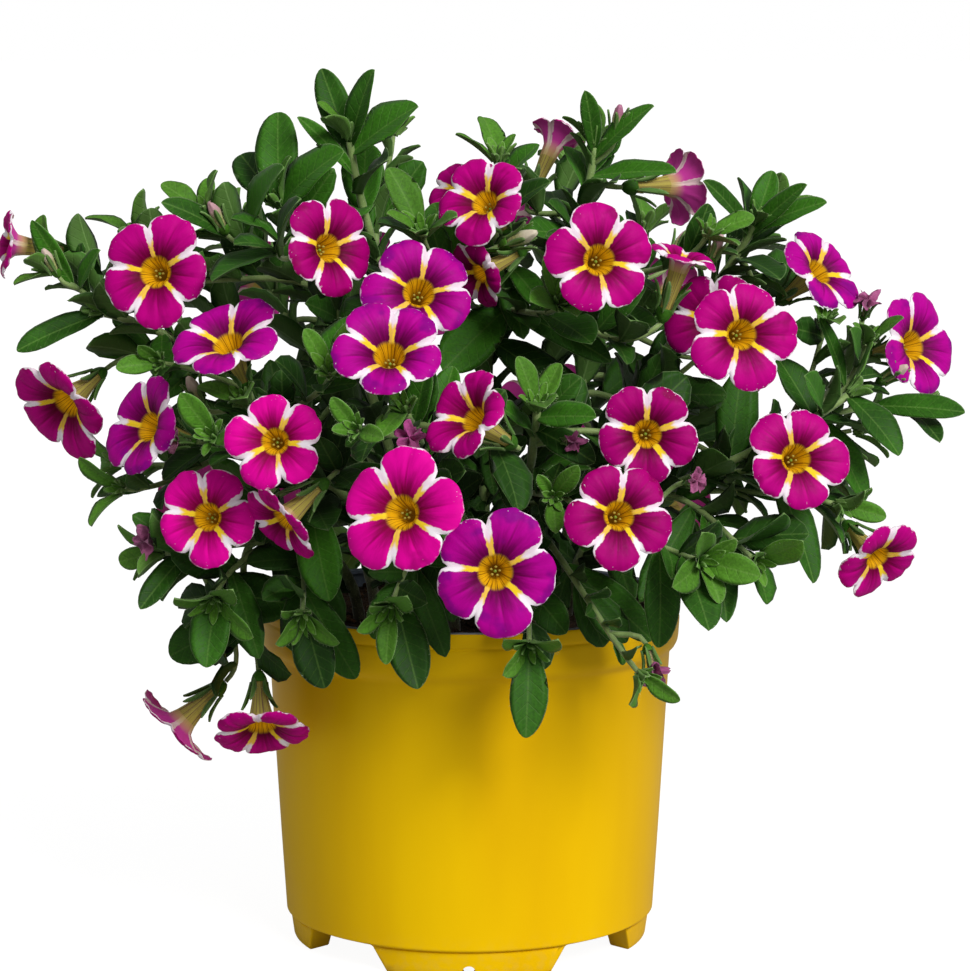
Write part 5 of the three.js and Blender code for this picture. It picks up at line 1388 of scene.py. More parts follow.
# Each short side stalk, by what it ends in: its stem, where that begins, where it points, its size, its
# colour's share of purple from 0 (faded, brownish) to 1 (fresh).
SPRIGS = {
    SprigKind.SPENT: (
        ("front", (-14, -80, 151), -10, 20, 0.66, 0.85),
        ("low_left", (-82, -47, 122), -50, -10, 0.7, 0.5),
        ("front_right", (25, -70, 150), 35, 5, 0.5, 0.6),
        ("front_right", (58, -60, 138), 30, 10, 0.5, 0.5),
        ("front_right", (47, -80, 96), 20, -50, 0.7, 0.7),
        ("right", (110, -8, 178), 10, 50, 0.6, 0.6),
        ("left", (-76, -36, 146), -50, 10, 0.65, 0.2),
        ("back_left", (-38, 84, 166), -160, 20, 0.75, 0.5),
        ("back_right", (88, 62, 138), 140, -5, 0.75, 0.5),
    ),
    SprigKind.BUD: (
        ("upper_right", (41, -2, 229), 20, 70, 0.75, 0.8),
        ("middle", (11, -37, 200), 60, 20, 0.9, 0.1),
        ("upper_left", (-68, -14, 203), -60, 60, 0.8, 0.6),
        ("right", (116, -8, 160), 60, 30, 0.8, 0.3),
        ("front_left", (-73, -38, 158), -30, 50, 0.8, 0.2),
        ("upper_right", (66, -34, 196), 40, 60, 0.7, 0.5),
        ("left", (-116, -2, 190), -60, 60, 0.7, 0.3),
        ("back_right", (62, 70, 190), 140, 50, 0.8, 0.6),
        ("back_left", (-60, 66, 186), -140, 50, 0.8, 0.4),
    ),
}


@dataclass
class Sprig:
    """A bud or a spent flower on a short stalk of its own."""

    name: str
    kind: SprigKind
    stem: str
    centre: Array
    face: Array
    size: float
    purple: float
    seed: int

    @classmethod
    def every(cls) -> list["Sprig"]:
        """The sprigs of SPRIGS, numbered within their kind."""
        found = []
        for kind, rows in SPRIGS.items():
            for number, (stem, centre, round_deg, above_deg, size, purple) in enumerate(rows, 1):
                found.append(cls(f"{kind.value}_{number:02d}", kind, stem, np.array(centre, float),
                                 heading(round_deg, above_deg), size, purple, len(found)))
        return found

    def stalk_patches(self, habit: Habit) -> list[Patch]:
        """Stalk from the nearest place on the stem's shoots, and the calyx on its end."""
        foot = self.centre - self.face * (3.6 * self.size)
        start = habit.near(self.stem, foot - self.face * 8)
        reach = float(np.linalg.norm(foot - start))
        handles = start + unit(foot - start) * (0.3 * reach), foot - self.face * (0.4 * reach)
        curve = np.array([start, *handles, foot])
        share = np.linspace(0, 1, max(5, int(reach / 2)))
        bare = {"woody": 0 * share, "along": 0 * share}
        wood = stalk(curve_point(curve, share), 0.85 - 0.2 * share, 8, "shoot", bare)
        sizes = {"height": 3.4, "radius": 2.1, "sepal_reach": 4.0, "sepal_length": 8.0, "sepal_width": 1.9}
        calyx = Calyx(self.centre, self.face, 60 + self.seed, youth=0.6,
                      **{name: value * self.size for name, value in sizes.items()})
        return [wood, *calyx.patches()]

    def patches(self) -> list[Patch]:
        """The bud or the spent flower itself."""
        return [self.bud()] if self.kind is SprigKind.BUD else [self.spent()]

    def bud(self) -> Patch:
        """Pointed bud with five pleats that wind round it: a sine of the height, to the power 0.7."""
        rows, columns = 14, 25
        v = np.linspace(0, 1, rows)[:, None]
        a = (np.arange(columns) * TURN / columns)[None]
        radius = self.size * (0.35 + 1.75 * np.sin(np.pi * (0.12 + 0.85 * v)) ** 0.7)
        radius = radius * (1 + 0.1 * np.cos(5 * a + 4 * v))
        rise = self.size * (-0.6 + 10.5 * v)
        values = {"along": v + 0 * a, "purple": self.purple + 0 * v * a}
        return shell(self.ring(radius, a, rise), "bud", values)

    def spent(self) -> Patch:
        """Shrivelled flower: a thin tube that opens into five crumpled, inrolled flaps."""
        rows, columns = 26, 45
        v = np.linspace(0, 1, rows)[:, None]
        a = (np.arange(columns) * TURN / columns)[None]
        opening = np.clip((v - 0.52) / 0.4, 0, 1)
        flap = np.abs(np.cos(2.5 * a + 0.6 * np.sin(self.seed)))
        crumple = 1 + 0.22 * np.sin(7 * a + 3 * self.seed) * opening + 0.14 * np.sin(13 * a + 9 * v) * opening
        radius = self.size * (1.15 + 0.5 * v + 6.5 * opening**1.5 * (0.35 + 0.65 * flap) * crumple)
        fold_back = np.clip((v - 0.86) / 0.14, 0, 1)
        radius = radius * (1 - 0.94 * fold_back**1.4)
        wavy = 2.2 * np.sin(4 * a + self.seed) * opening
        rise = self.size * (-0.8 + 13 * v + wavy - 4.0 * fold_back)
        values = {"along": v + 0 * a, "purple": self.purple + 0 * v * a}
        return shell(self.ring(radius, a, rise), "spent", values)

    def ring(self, radius: Array, angle: Array, rise: Array) -> Array:
        """Points at a radius, an angle and a height about the sprig's axis."""
        first, other = ring_frame(self.face)
        radius, angle, rise = np.broadcast_arrays(radius, angle, rise)
        across = (radius * np.cos(angle))[..., None] * first + (radius * np.sin(angle))[..., None] * other
        return self.centre + across + rise[..., None] * self.face


# ------------------------------------------------------------------ pot and soil

@dataclass
class PotDress:
    """The pot: one skin that runs from the middle of its underside round the lip to the floor inside."""

    floor_height: float = POT.foot_height
    gap_half_below: float = 15.8
    gap_half_above: float = 12.2
    ridge_height: float = 92.8
    ridge_depth: float = 0.35
    seam_height: float = 7.05                # where the body stands on the feet
    seam_depth: float = 0.5
    notch_lift: float = 1.3                  # how far the axis of a foot's notch lies above the ground
    foot_columns: int = 17

    def outside(self, z: Array) -> Array:
        """Radius of the outside: straight below the rim band, a soft step under it, a seam and a ridge."""
        heights = [0.0, 7.0, 7.25, 7.6, 7.9, 30.0, 56.0, 81.6, 82.4, 83.2, 84.4, 85.6, 86.6, 97.0]
        radii = [50.4, 51.4, 51.75, 52.25, 52.5, 53.9, 55.4, 56.85, 56.95, 57.3, 58.5, 59.15, 59.35, 60.0]
        ridge = self.ridge_depth * np.exp(-((z - self.ridge_height) / 0.45) ** 2)
        seam = self.seam_depth * np.exp(-((z - self.seam_height) / 0.22) ** 2)
        return np.interp(z, heights, radii) - ridge - seam

    def columns(self) -> tuple[Array, Array, Array]:
        """For each column: its half gap (or 0), its share of the way over its foot, and its quarter."""
        beside = [3, 6, 9, 12.2, 12.5, 13.1, 14.0, 14.9, 15.4]
        gaps = [-gap for gap in reversed(beside)] + [0] + beside
        feet = list(np.linspace(0, 1, self.foot_columns))
        gap = np.array(gaps + [np.nan] * len(feet))
        foot = np.array([np.nan] * len(gaps) + feet)
        return np.tile(gap, 4), np.tile(foot, 4), np.repeat(np.arange(4), len(gap))

    def angle(self, radius: Array) -> Array:
        """Angle of each column at a radius: gap columns keep their distance from the gap's middle line."""
        gap, foot, quarter = self.columns()
        middle = math.pi / 4 + quarter * math.pi / 2
        edge = np.arcsin(self.gap_half_below / radius)
        over_foot = edge + (math.pi / 2 - 2 * edge) * np.nan_to_num(foot)
        in_gap = np.arcsin(np.nan_to_num(gap) / radius)
        return middle + np.where(np.isnan(gap), over_foot, in_gap)

    def ground(self) -> Array:
        """Height of the underside at each column: 0 on the feet, the floor's in the gaps, slopes between."""
        gap = np.abs(self.columns()[0])
        slope = (self.gap_half_below - gap) / (self.gap_half_below - self.gap_half_above)
        return np.where(np.isnan(gap), 0.0, self.floor_height * np.clip(slope, 0, 1))

    def rings(self) -> tuple[Array, Array]:
        """Points of the skin and, for each ring, whether it lies inside the pot (1) or outside it (0)."""
        ground, inner = self.ground(), POT.foot_inner_radius
        floor = self.floor_height + 0 * ground
        rows: list[tuple[Array, Array, float]] = []

        def ring(radius: Array | float, height: Array | float, inside: float = 0.0) -> None:
            """Adds one ring."""
            rows.append((radius + 0 * ground, height + 0 * ground, inside))

        for radius in (0.5, 15, 28, 38, inner - 0.8, inner - 0.1):
            ring(radius, floor)
        for share, step in ((0.04, 0.1), (0.5, 0.25), (0.95, 0.4), (1.0, 0.8)):
            ring(inner + step, spread(floor, ground, share))
        ring(47.0, ground)
        for back, lift in ((0.9, 0.0), (0.35, 0.06), (0.08, 0.3)):
            ring(self.outside(ground) - back, ground + lift)
        for share in (0.0, 0.25, 0.5, 0.72, 0.79, 0.815, 0.836, 0.857, 0.88, 0.91, 0.95, 1.0):
            height = spread(ground + 0.7, 8.3, share)
            ring(self.outside(height), height)
        for height in (9.5, 14, 20, 28, 36, 44, 52, 60, 68, 74, 79, 81.2, 82.2, 82.9, 83.6, 84.4, 85.2, 86.0,
                       87.0, 89.0, 91.0, 92.0, 92.4, 92.6, 92.8, 93.0, 93.2, 93.6, 94.6, 96.0, 96.5):
            ring(self.outside(np.array(height)), height)
        ring(59.85, 96.82)
        ring(59.5, POT.height, 1.0)
        for radius, height in (
            (59.2, 97.0), (57.5, 97.0), (57.12, 96.88), (57.0, 96.5), (57.0, 95.9), (57.3, 95.7),
            (58.4, 95.6), (58.2, 92.0), (57.6, 86.5), (55.8, 82.6), (54.2, 56.0), (51.4, 9.4),
            (50.8, 8.3), (48, 8.2), (30, 8.2), (12, 8.2), (0.5, 8.2),
        ):
            ring(radius, height, 1.0)
        radius = np.array([row[0] for row in rows])
        height = np.array([row[1] for row in rows])
        angle = self.angle(np.maximum(radius, inner))
        points = np.stack([radius * np.cos(angle), radius * np.sin(angle), height], axis=-1)
        return points, np.array([row[2] for row in rows])[:, None]

    def build(self, finishes: "Finishes") -> bpy.types.Object:
        """The pot as a piece, with its drain holes and the notch in each foot cut out."""
        points, inside = self.rings()
        pot = Piece("pot_shell", "pot_plastic", ("pot",))
        pot.add(shell(points, "pot", {"inside": inside}))
        made = pot.make(finishes)
        cut = made.modifiers.new("cuts", "BOOLEAN")
        cutters = self.cutters()
        cut.object = cutters
        cut.solver = "EXACT"
        evaluated = made.evaluated_get(bpy.context.evaluated_depsgraph_get())
        mesh = bpy.data.meshes.new_from_object(evaluated)
        made.modifiers.clear()
        made.data = mesh
        mesh.set_sharp_from_angle(angle=math.radians(38))
        bpy.data.objects.remove(cutters)
        return made

    def cutters(self) -> bpy.types.Object:
        """Four drain holes through the floor and a half-round notch in the middle of each foot."""
        cutters = Piece("pot_cutters", None, ())
        for quarter in range(4):
            across = math.pi / 4 + quarter * math.pi / 2
            middle = np.array([math.cos(across), math.sin(across), 0]) * POT.drain_circle
            drain = np.stack([middle + UP * z for z in (3.0, 9.0, 15.0)])
            cutters.add(stalk(drain, np.full(3, POT.drain_radius), 24, "pot", {}))
            out = np.array([math.cos(across - math.pi / 4), math.sin(across - math.pi / 4), 0])
            notch = np.stack([out * r + UP * self.notch_lift for r in (41.0, 47.5, 54.0)])
            cutters.add(stalk(notch, np.full(3, POT.notch_radius), 24, "pot", {}))
        return cutters.make(None)


@dataclass
class SoilDress:
    """Peat that fills the pot, with a lumpy top and loose crumbs on it."""

    radius: float = 56.9
    level: float = POT.soil_level
    columns: int = 160
    crumbs: int = 900

    def top(self, x: Array, y: Array) -> Array:
        """Height of the top: slow swells, finer lumps, and a dip towards the wall."""
        swell = 0.8 * np.sin(x * 0.09 + 1.3) * np.cos(y * 0.11 - 0.4) + 0.5 * np.sin(x * 0.23 - y * 0.19)
        lumps = 0.3 * np.sin(x * 0.9 + 2 * np.sin(y * 0.5)) * np.sin(y * 1.1 + 1.7 * np.sin(x * 0.6))
        grain = 0.18 * np.sin(2.7 * x + 3 * np.sin(1.9 * y)) * np.sin(2.3 * y + 2.5 * np.sin(1.6 * x))
        edge = -1.2 * np.clip((np.hypot(x, y) - 50) / 7, 0, 1) ** 2
        return self.level - 0.4 + swell * 0.7 + lumps + grain + edge

    def build(self, finishes: "Finishes") -> bpy.types.Object:
        """The soil as a piece."""
        angle = (np.arange(self.columns) * TURN / self.columns)[None]
        under = np.array([
            (1.0, 8.6), (30.0, 8.6), (49.5, 8.6), (50.6, 9.4), (54.0, 60.0), (55.4, 82.0), (56.6, 86.0),
        ])
        out, rise = under[:, :1], under[:, 1:] + 0 * angle
        low = np.stack([out * np.cos(angle), out * np.sin(angle), rise], axis=-1)
        radius = self.radius * np.linspace(1, 0.004, 70)[:, None] ** 0.8
        x, y = radius * np.cos(angle), radius * np.sin(angle)
        high = np.stack([x, y, self.top(x, y)], axis=-1)
        soil = Piece("soil_fill", "peat", ("soil",))
        soil.add(shell(np.concatenate([low, high]), "soil"))
        for k in range(self.crumbs):
            out = 56.0 * math.sqrt(noise(k, 1, 61))
            turn = TURN * noise(k, 2, 61)
            x, y = out * math.cos(turn), out * math.sin(turn)
            size = spread(0.35, 1.5, noise(k, 3, 61) ** 3)
            centre = np.array([x, y, float(self.top(np.array(x), np.array(y))) + size * 0.3])
            spin = TURN * noise(k, 4, 61)
            c, s = math.cos(spin), math.sin(spin)
            axes = np.array([[c, s, 0.2], [-s, c, 0.1], [0, -0.2, 1]])
            radii = (size * spread(0.8, 1.8, noise(k, 5, 61)), size, size * 0.75)
            soil.add(lump(centre, axes, radii, 5, 7, "soil", {"tone": noise(k, 6, 61)}, 0.16, k))
        return soil.make(finishes)


# ------------------------------------------------------------------ pieces

class Piece:
    """Patches that make one object of the scene."""

    def __init__(self, name: str, slot: str | None, replaced: tuple[str, ...]) -> None:
        """Names the piece, a material slot that is kept but not used, and the nodes that it stands for."""
        self.name = name
        self.slot = slot
        self.replaced = replaced
        self.patches: list[Patch] = []

    def add(self, *patches: Patch) -> None:
        """Adds surfaces to the piece."""
        self.patches += patches

    def make(self, finishes: "Finishes | None") -> bpy.types.Object:
        """Joins the patches into one mesh object in metres, and lets it ride on the part's body.

        Args:
            finishes: where materials come from; None for a tool that only cuts others.

        Returns:
            The object, linked to the scene.
        """
        names = list(dict.fromkeys(patch.finish for patch in self.patches))
        starts = np.cumsum([0] + [len(patch.points) for patch in self.patches])
        corners, sizes, slots = [], [], []
        for patch, start in zip(self.patches, starts):
            for faces in patch.faces:
                corners.append((faces + start).ravel())
                sizes.append(np.full(len(faces), faces.shape[1]))
                slots.append(np.full(len(faces), names.index(patch.finish)))
        corner, size = np.concatenate(corners), np.concatenate(sizes)
        mesh = bpy.data.meshes.new(self.name)
        mesh.vertices.add(int(starts[-1]))
        points = np.concatenate([patch.points for patch in self.patches]) * MM
        mesh.vertices.foreach_set("co", points.astype(np.float32).ravel())
        mesh.loops.add(len(corner))
        mesh.loops.foreach_set("vertex_index", corner.astype(np.int32))
        mesh.polygons.add(len(size))
        mesh.polygons.foreach_set("loop_start", (np.cumsum(size) - size).astype(np.int32))
        mesh.polygons.foreach_set("material_index", np.concatenate(slots).astype(np.int32))
        mesh.polygons.foreach_set("use_smooth", np.ones(len(size), bool))
        mesh.update(calc_edges=True)
        self._write_values(mesh, corner)
        mesh.validate()
        made = bpy.data.objects.new(self.name, mesh)
        bpy.context.scene.collection.objects.link(made)
        if finishes:
            for name in names:
                mesh.materials.append(finishes.get(name))
            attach(made, "root")
        if self.replaced:
            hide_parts(*self.replaced)
        log.info("%s: %d faces", self.name, len(size))
        return made

    def _write_values(self, mesh: bpy.types.Mesh, corner: Array) -> None:
        """Writes the patches' values as point attributes, and the flat coordinates as a UV map."""
        keys = list(dict.fromkeys(key for patch in self.patches for key in patch.values))
        for key in keys:
            parts = [patch.values.get(key, np.zeros(len(patch.points))) for patch in self.patches]
            attribute = mesh.attributes.new(key, "FLOAT", "POINT")
            attribute.data.foreach_set("value", np.concatenate(parts).astype(np.float32))
        if any(patch.plane is not None for patch in self.patches):
            parts = [np.zeros((len(p.points), 2)) if p.plane is None else p.plane for p in self.patches]
            layer = mesh.uv_layers.new(name="plane")
            layer.data.foreach_set("uv", np.concatenate(parts)[corner].astype(np.float32).ravel())


# ------------------------------------------------------------------ materials

Colour = tuple[float, float, float]


def tint(code: str) -> Colour:
    """Linear colour of a six-figure sRGB code."""
    parts = (int(code[i:i + 2], 16) / 255 for i in (0, 2, 4))
    red, green, blue = (c / 12.92 if c <= 0.04045 else ((c + 0.055) / 1.055) ** 2.4 for c in parts)
    return red, green, blue


class Wire:
    """Output of a shader node. Sums and products of wires and numbers become Math nodes."""

    def __init__(self, graph: "Graph", socket: bpy.types.NodeSocket) -> None:
        """Wraps one output."""
        self.graph, self.socket = graph, socket

    def __add__(self, other: "Wire | float") -> "Wire":
        """Sum."""
        return self.graph.math("ADD", self, other)

    def __sub__(self, other: "Wire | float") -> "Wire":
        """Difference."""
        return self.graph.math("SUBTRACT", self, other)

    def __rsub__(self, other: float) -> "Wire":
        """What a number is larger by."""
        return self.graph.math("SUBTRACT", other, self)

    def __mul__(self, other: "Wire | float") -> "Wire":
        """Product."""
        return self.graph.math("MULTIPLY", self, other)

    def step(self, low: float, high: float, start: "Wire | float" = 0.0, end: "Wire | float" = 1.0) -> "Wire":
        """Smooth step from `start` at `low` to `end` at `high`."""
        inputs = (self, low, high, start, end)
        return self.graph.node("ShaderNodeMapRange", inputs, interpolation_type="SMOOTHSTEP")


class Graph:
    """Writes shader nodes into a tree. Inputs take wires, numbers, and colours as triples or sRGB codes."""

    def __init__(self, tree: bpy.types.NodeTree) -> None:
        """Works on one node tree."""
        self.tree = tree

    def feed(self, socket: bpy.types.NodeSocket, value: object) -> None:
        """Links a socket to an input, or sets the input's own value."""
        if isinstance(value, Wire):
            self.tree.links.new(value.socket, socket)
        elif socket.type == "RGBA":
            socket.default_value = (*(tint(value) if isinstance(value, str) else value), 1.0)
        else:
            socket.default_value = value

    def node(self, kind: str, inputs: dict | Sequence = (), output: str | int = 0,
             **settings: object) -> Wire:
        """Writes one node.

        Args:
            kind: the node's type.
            inputs: what its inputs take, in order or by name or number.
            output: the output to give back.
            settings: the node's own settings.

        Returns:
            The output.
        """
        made = self.tree.nodes.new(kind)
        for name, value in settings.items():
            setattr(made, name, value)
        for key, value in inputs.items() if isinstance(inputs, dict) else enumerate(inputs):
            self.feed(made.inputs[key], value)
        return Wire(self, made.outputs[output])

    def math(self, operation: str, *values: object) -> Wire:
        """Result of a Math node."""
        return self.node("ShaderNodeMath", values, operation=operation)

    def vector(self, operation: str, inputs: dict | Sequence, output: str | int = 0) -> Wire:
        """Result of a Vector Math node."""
        return self.node("ShaderNodeVectorMath", inputs, output, operation=operation)

    def split(self, vector: Wire) -> list[Wire]:
        """The three parts of a vector."""
        first = self.node("ShaderNodeSeparateXYZ", (vector,))
        return [Wire(self, socket) for socket in first.socket.node.outputs]

    def mix(self, factor: object, first: object, second: object, blend: str = "MIX") -> Wire:
        """Colour between two colours."""
        inputs = {0: factor, 6: first, 7: second}
        return self.node("ShaderNodeMix", inputs, 2, data_type="RGBA", blend_type=blend, clamp_factor=True)

    def values(self, *names: str) -> list[Wire]:
        """Values that the mesh holds under some names."""
        return [self.node("ShaderNodeAttribute", (), "Fac", attribute_type="GEOMETRY", attribute_name=name)
                for name in names]

    def place(self) -> Wire:
        """Object coordinates."""
        return self.node("ShaderNodeTexCoord", (), "Object")

    def noise(self, vector: Wire, scale: object, detail: float = 2.0, roughness: float = 0.5) -> Wire:
        """Noise from 0 to 1."""
        inputs = {"Vector": vector, "Scale": scale, "Detail": detail, "Roughness": roughness}
        return self.node("ShaderNodeTexNoise", inputs, "Fac")

    def drawn_out(self, scale: Colour, detail: float) -> Wire:
        """Noise drawn out along the object's axes."""
        stretched = self.node("ShaderNodeMapping", {"Vector": self.place(), "Scale": scale})
        return self.noise(stretched, 1.0, detail)

    def bump(self, height: Wire, strength: float, distance: float) -> Wire:
        """Normal of a bumpy surface."""
        return self.node("ShaderNodeBump", {"Strength": strength, "Distance": distance, "Height": height})

    def use(self, group: bpy.types.NodeTree, **values: object) -> dict[str, Wire]:
        """Places a node group with its values, and returns its outputs by name."""
        made = self.tree.nodes.new("ShaderNodeGroup")
        made.node_tree = group
        for name, value in values.items():
            self.feed(made.inputs[name.replace("_", " ")], value)
        return {socket.name: Wire(self, socket) for socket in made.outputs}

    def finish(self, **values: object) -> None:
        """Feeds the inputs of the tree's Principled shader, or sets their own values."""
        shader = next(node for node in self.tree.nodes if node.type == "BSDF_PRINCIPLED")
        for name, value in values.items():
            self.feed(shader.inputs[name.replace("_", " ")], value)


def effect(name: str, inputs: dict[str, float], outputs: Sequence[str],
           fill: Callable[[Graph, dict[str, Wire]], dict[str, Wire]]) -> bpy.types.NodeTree:
    """Node group that several materials share.

    Args:
        name: name of the group.
        inputs: its number inputs and their usual values.
        outputs: names of its number outputs.
        fill: writes the nodes and returns the outputs by name.

    Returns:
        The group.
    """
    tree = bpy.data.node_groups.new(name, "ShaderNodeTree")
    for label, value in inputs.items():
        tree.interface.new_socket(label, in_out="INPUT", socket_type="NodeSocketFloat").default_value = value
    for label in outputs:
        tree.interface.new_socket(label, in_out="OUTPUT", socket_type="NodeSocketFloat")
    graph = Graph(tree)
    sources = tree.nodes.new("NodeGroupInput").outputs
    results = fill(graph, {socket.name: Wire(graph, socket) for socket in sources if socket.name})
    sink = tree.nodes.new("NodeGroupOutput")
    for label, wire in results.items():
        graph.feed(sink.inputs[label], wire)
    return tree


class Effects:
    """Node groups for patterns that more than one finish wears."""

    def __init__(self) -> None:
        """Builds each group once."""
        self.patches = effect("patches", {"Coarse": 120.0, "Fine": 700.0}, ("Coarse", "Fine"), self._patches)
        places = {"Share": 0.0, "Stripe": 0.0, "Rim": 0.0}
        widths = {"Inner Width": 0.8, "Outer Width": 1.7, "Ragged": 0.5}
        self.star = effect("star", places | widths, ("Pale", "Yellow"), self._star)
        self.streaks = effect("streaks", {"Rays": 7.0}, ("Streaks",), self._streaks)
        places = {"Rib": 0.0, "Along": 0.0, "Edge": 0.0}
        self.veins = effect("veins", places, ("Rib", "Veins", "Margin"), self._veins)

    @staticmethod
    def _patches(graph: Graph, source: dict[str, Wire]) -> dict[str, Wire]:
        """Soft patches at a coarse and a fine scale, in patches per metre."""
        return {label: graph.noise(graph.place(), scale) for label, scale in source.items()}

    @staticmethod
    def _star(graph: Graph, source: dict[str, Wire]) -> dict[str, Wire]:
        """Pale stripes and a pale rim: where a point lies nearer a stripe than the stripe's half width."""
        blotch = graph.noise(graph.place(), 260.0) - 0.5
        wild = (graph.noise(graph.place(), 900.0, 3.0) - 0.5 + blotch) * source["Ragged"]
        width = source["Share"].step(0.1, 0.95, source["Inner Width"], source["Outer Width"])
        stripe = (source["Stripe"] - width + wild).step(0.14, -0.14)
        broken = graph.noise(graph.place(), 150.0).step(0.42, 0.56)
        reach = source["Stripe"].step(0.6, 3.2, 0.9, 0.2)
        rim = (source["Rim"] + wild * 1.3 - reach).step(0.0, -0.2)
        rim = rim * graph.math("MAXIMUM", broken, source["Stripe"].step(2.6, 1.4))
        yellow = (source["Share"] + blotch * 0.25).step(0.6, 0.4)
        return {"Pale": graph.math("MAXIMUM", stripe, rim), "Yellow": yellow}

    @staticmethod
    def _streaks(graph: Graph, source: dict[str, Wire]) -> dict[str, Wire]:
        """Streaks that run out from a flower's middle: noise that varies mostly with direction."""
        plane = graph.node("ShaderNodeUVMap", (), "UV", uv_map="plane")
        flat = graph.vector("SUBTRACT", (plane, (0.5, 0.5, 0.0)))
        direction = graph.vector("NORMALIZE", (flat,))
        x, y, _ = graph.split(graph.vector("SCALE", {0: direction, "Scale": source["Rays"]}))
        length = graph.vector("LENGTH", (flat,), "Value")
        spot = graph.node("ShaderNodeCombineXYZ", (x, y, length * 5.0))
        return {"Streaks": graph.noise(spot, 1.0, 3.0, 0.6)}

    @staticmethod
    def _veins(graph: Graph, source: dict[str, Wire]) -> dict[str, Wire]:
        """Leaf veins: the rib, side veins that leave it every 3.2 mm at a slant, and the pale margin."""
        phase = source["Along"] - source["Rib"] * 0.9 + graph.noise(graph.place(), 500.0) * 0.9
        veins = graph.math("SINE", phase * (TURN / 3.2)).step(0.86, 1.0)
        inside = source["Edge"].step(0.2, 1.2)
        return {"Rib": source["Rib"].step(0.34, 0.12), "Veins": veins * inside,
                "Margin": source["Edge"].step(0.34, 0.08)}


@dataclass(frozen=True)
class PetalFinish:
    """Colours of one flower's petals."""

    face: str  # the petals' face, away from the throat
    deep: str  # near the throat; also the painted shade in each petal's crease
    blotch: str  # patches that run out to the rim
    blotched: float  # how much of the petal they cover, 0 to 1
    stripe: float  # half width of a stripe at the rim, in mm
    pale: str = "F4ECF2"
    yellow: str = "F2CE24"
    throat: str = "C8930C"
    throat_vein: str = "5C3206"
    back: str = "BC3A92"
    back_stripe: str = "E4D6CC"
    back_heart: str = "B8A058"
    tube: str = "A89A4A"
    tube_vein: str = "5A3840"


PETALS = {
    Tone.MAGENTA: PetalFinish("B8017C", "5A0020", "94005E", 0.35, 1.2),
    Tone.PINK: PetalFinish("DC0494", "6E0026", "B00274", 0.3, 1.3),
    Tone.PURPLE: PetalFinish("B0028C", "500030", "84047E", 0.5, 1.25),
    Tone.CRIMSON: PetalFinish("A4006C", "50001C", "800046", 0.35, 1.1),
}


@dataclass(frozen=True)
class LeafFinish:
    """Colours of the leaves."""

    old: str = "1D420A"
    old_light: str = "387014"
    young: str = "5A8E28"
    under: str = "5E7C40"
    rib: str = "6E9444"
    margin: str = "86A468"
    shaded: str = "16240E"


@dataclass(frozen=True)
class PotFinish:
    """Colours of the pot."""

    outside: str = "F0C200"
    outside_deep: str = "E2B000"
    inside: str = "7C8796"
    inside_deep: str = "66707E"
    dust: str = "B9A06A"


@dataclass(frozen=True)
class MottledFinish:
    """Two colours in soft patches, for the smallest things."""

    first: str
    second: str
    patches: float  # per metre
    roughness: float


MOTTLED = {
    "hair": MottledFinish("8FA870", "C6D2AE", 300.0, 0.5),
    "anther": MottledFinish("97892E", "B5A548", 3000.0, 0.85),
    "stigma": MottledFinish("5E7A22", "8DA63C", 3000.0, 0.3),
}


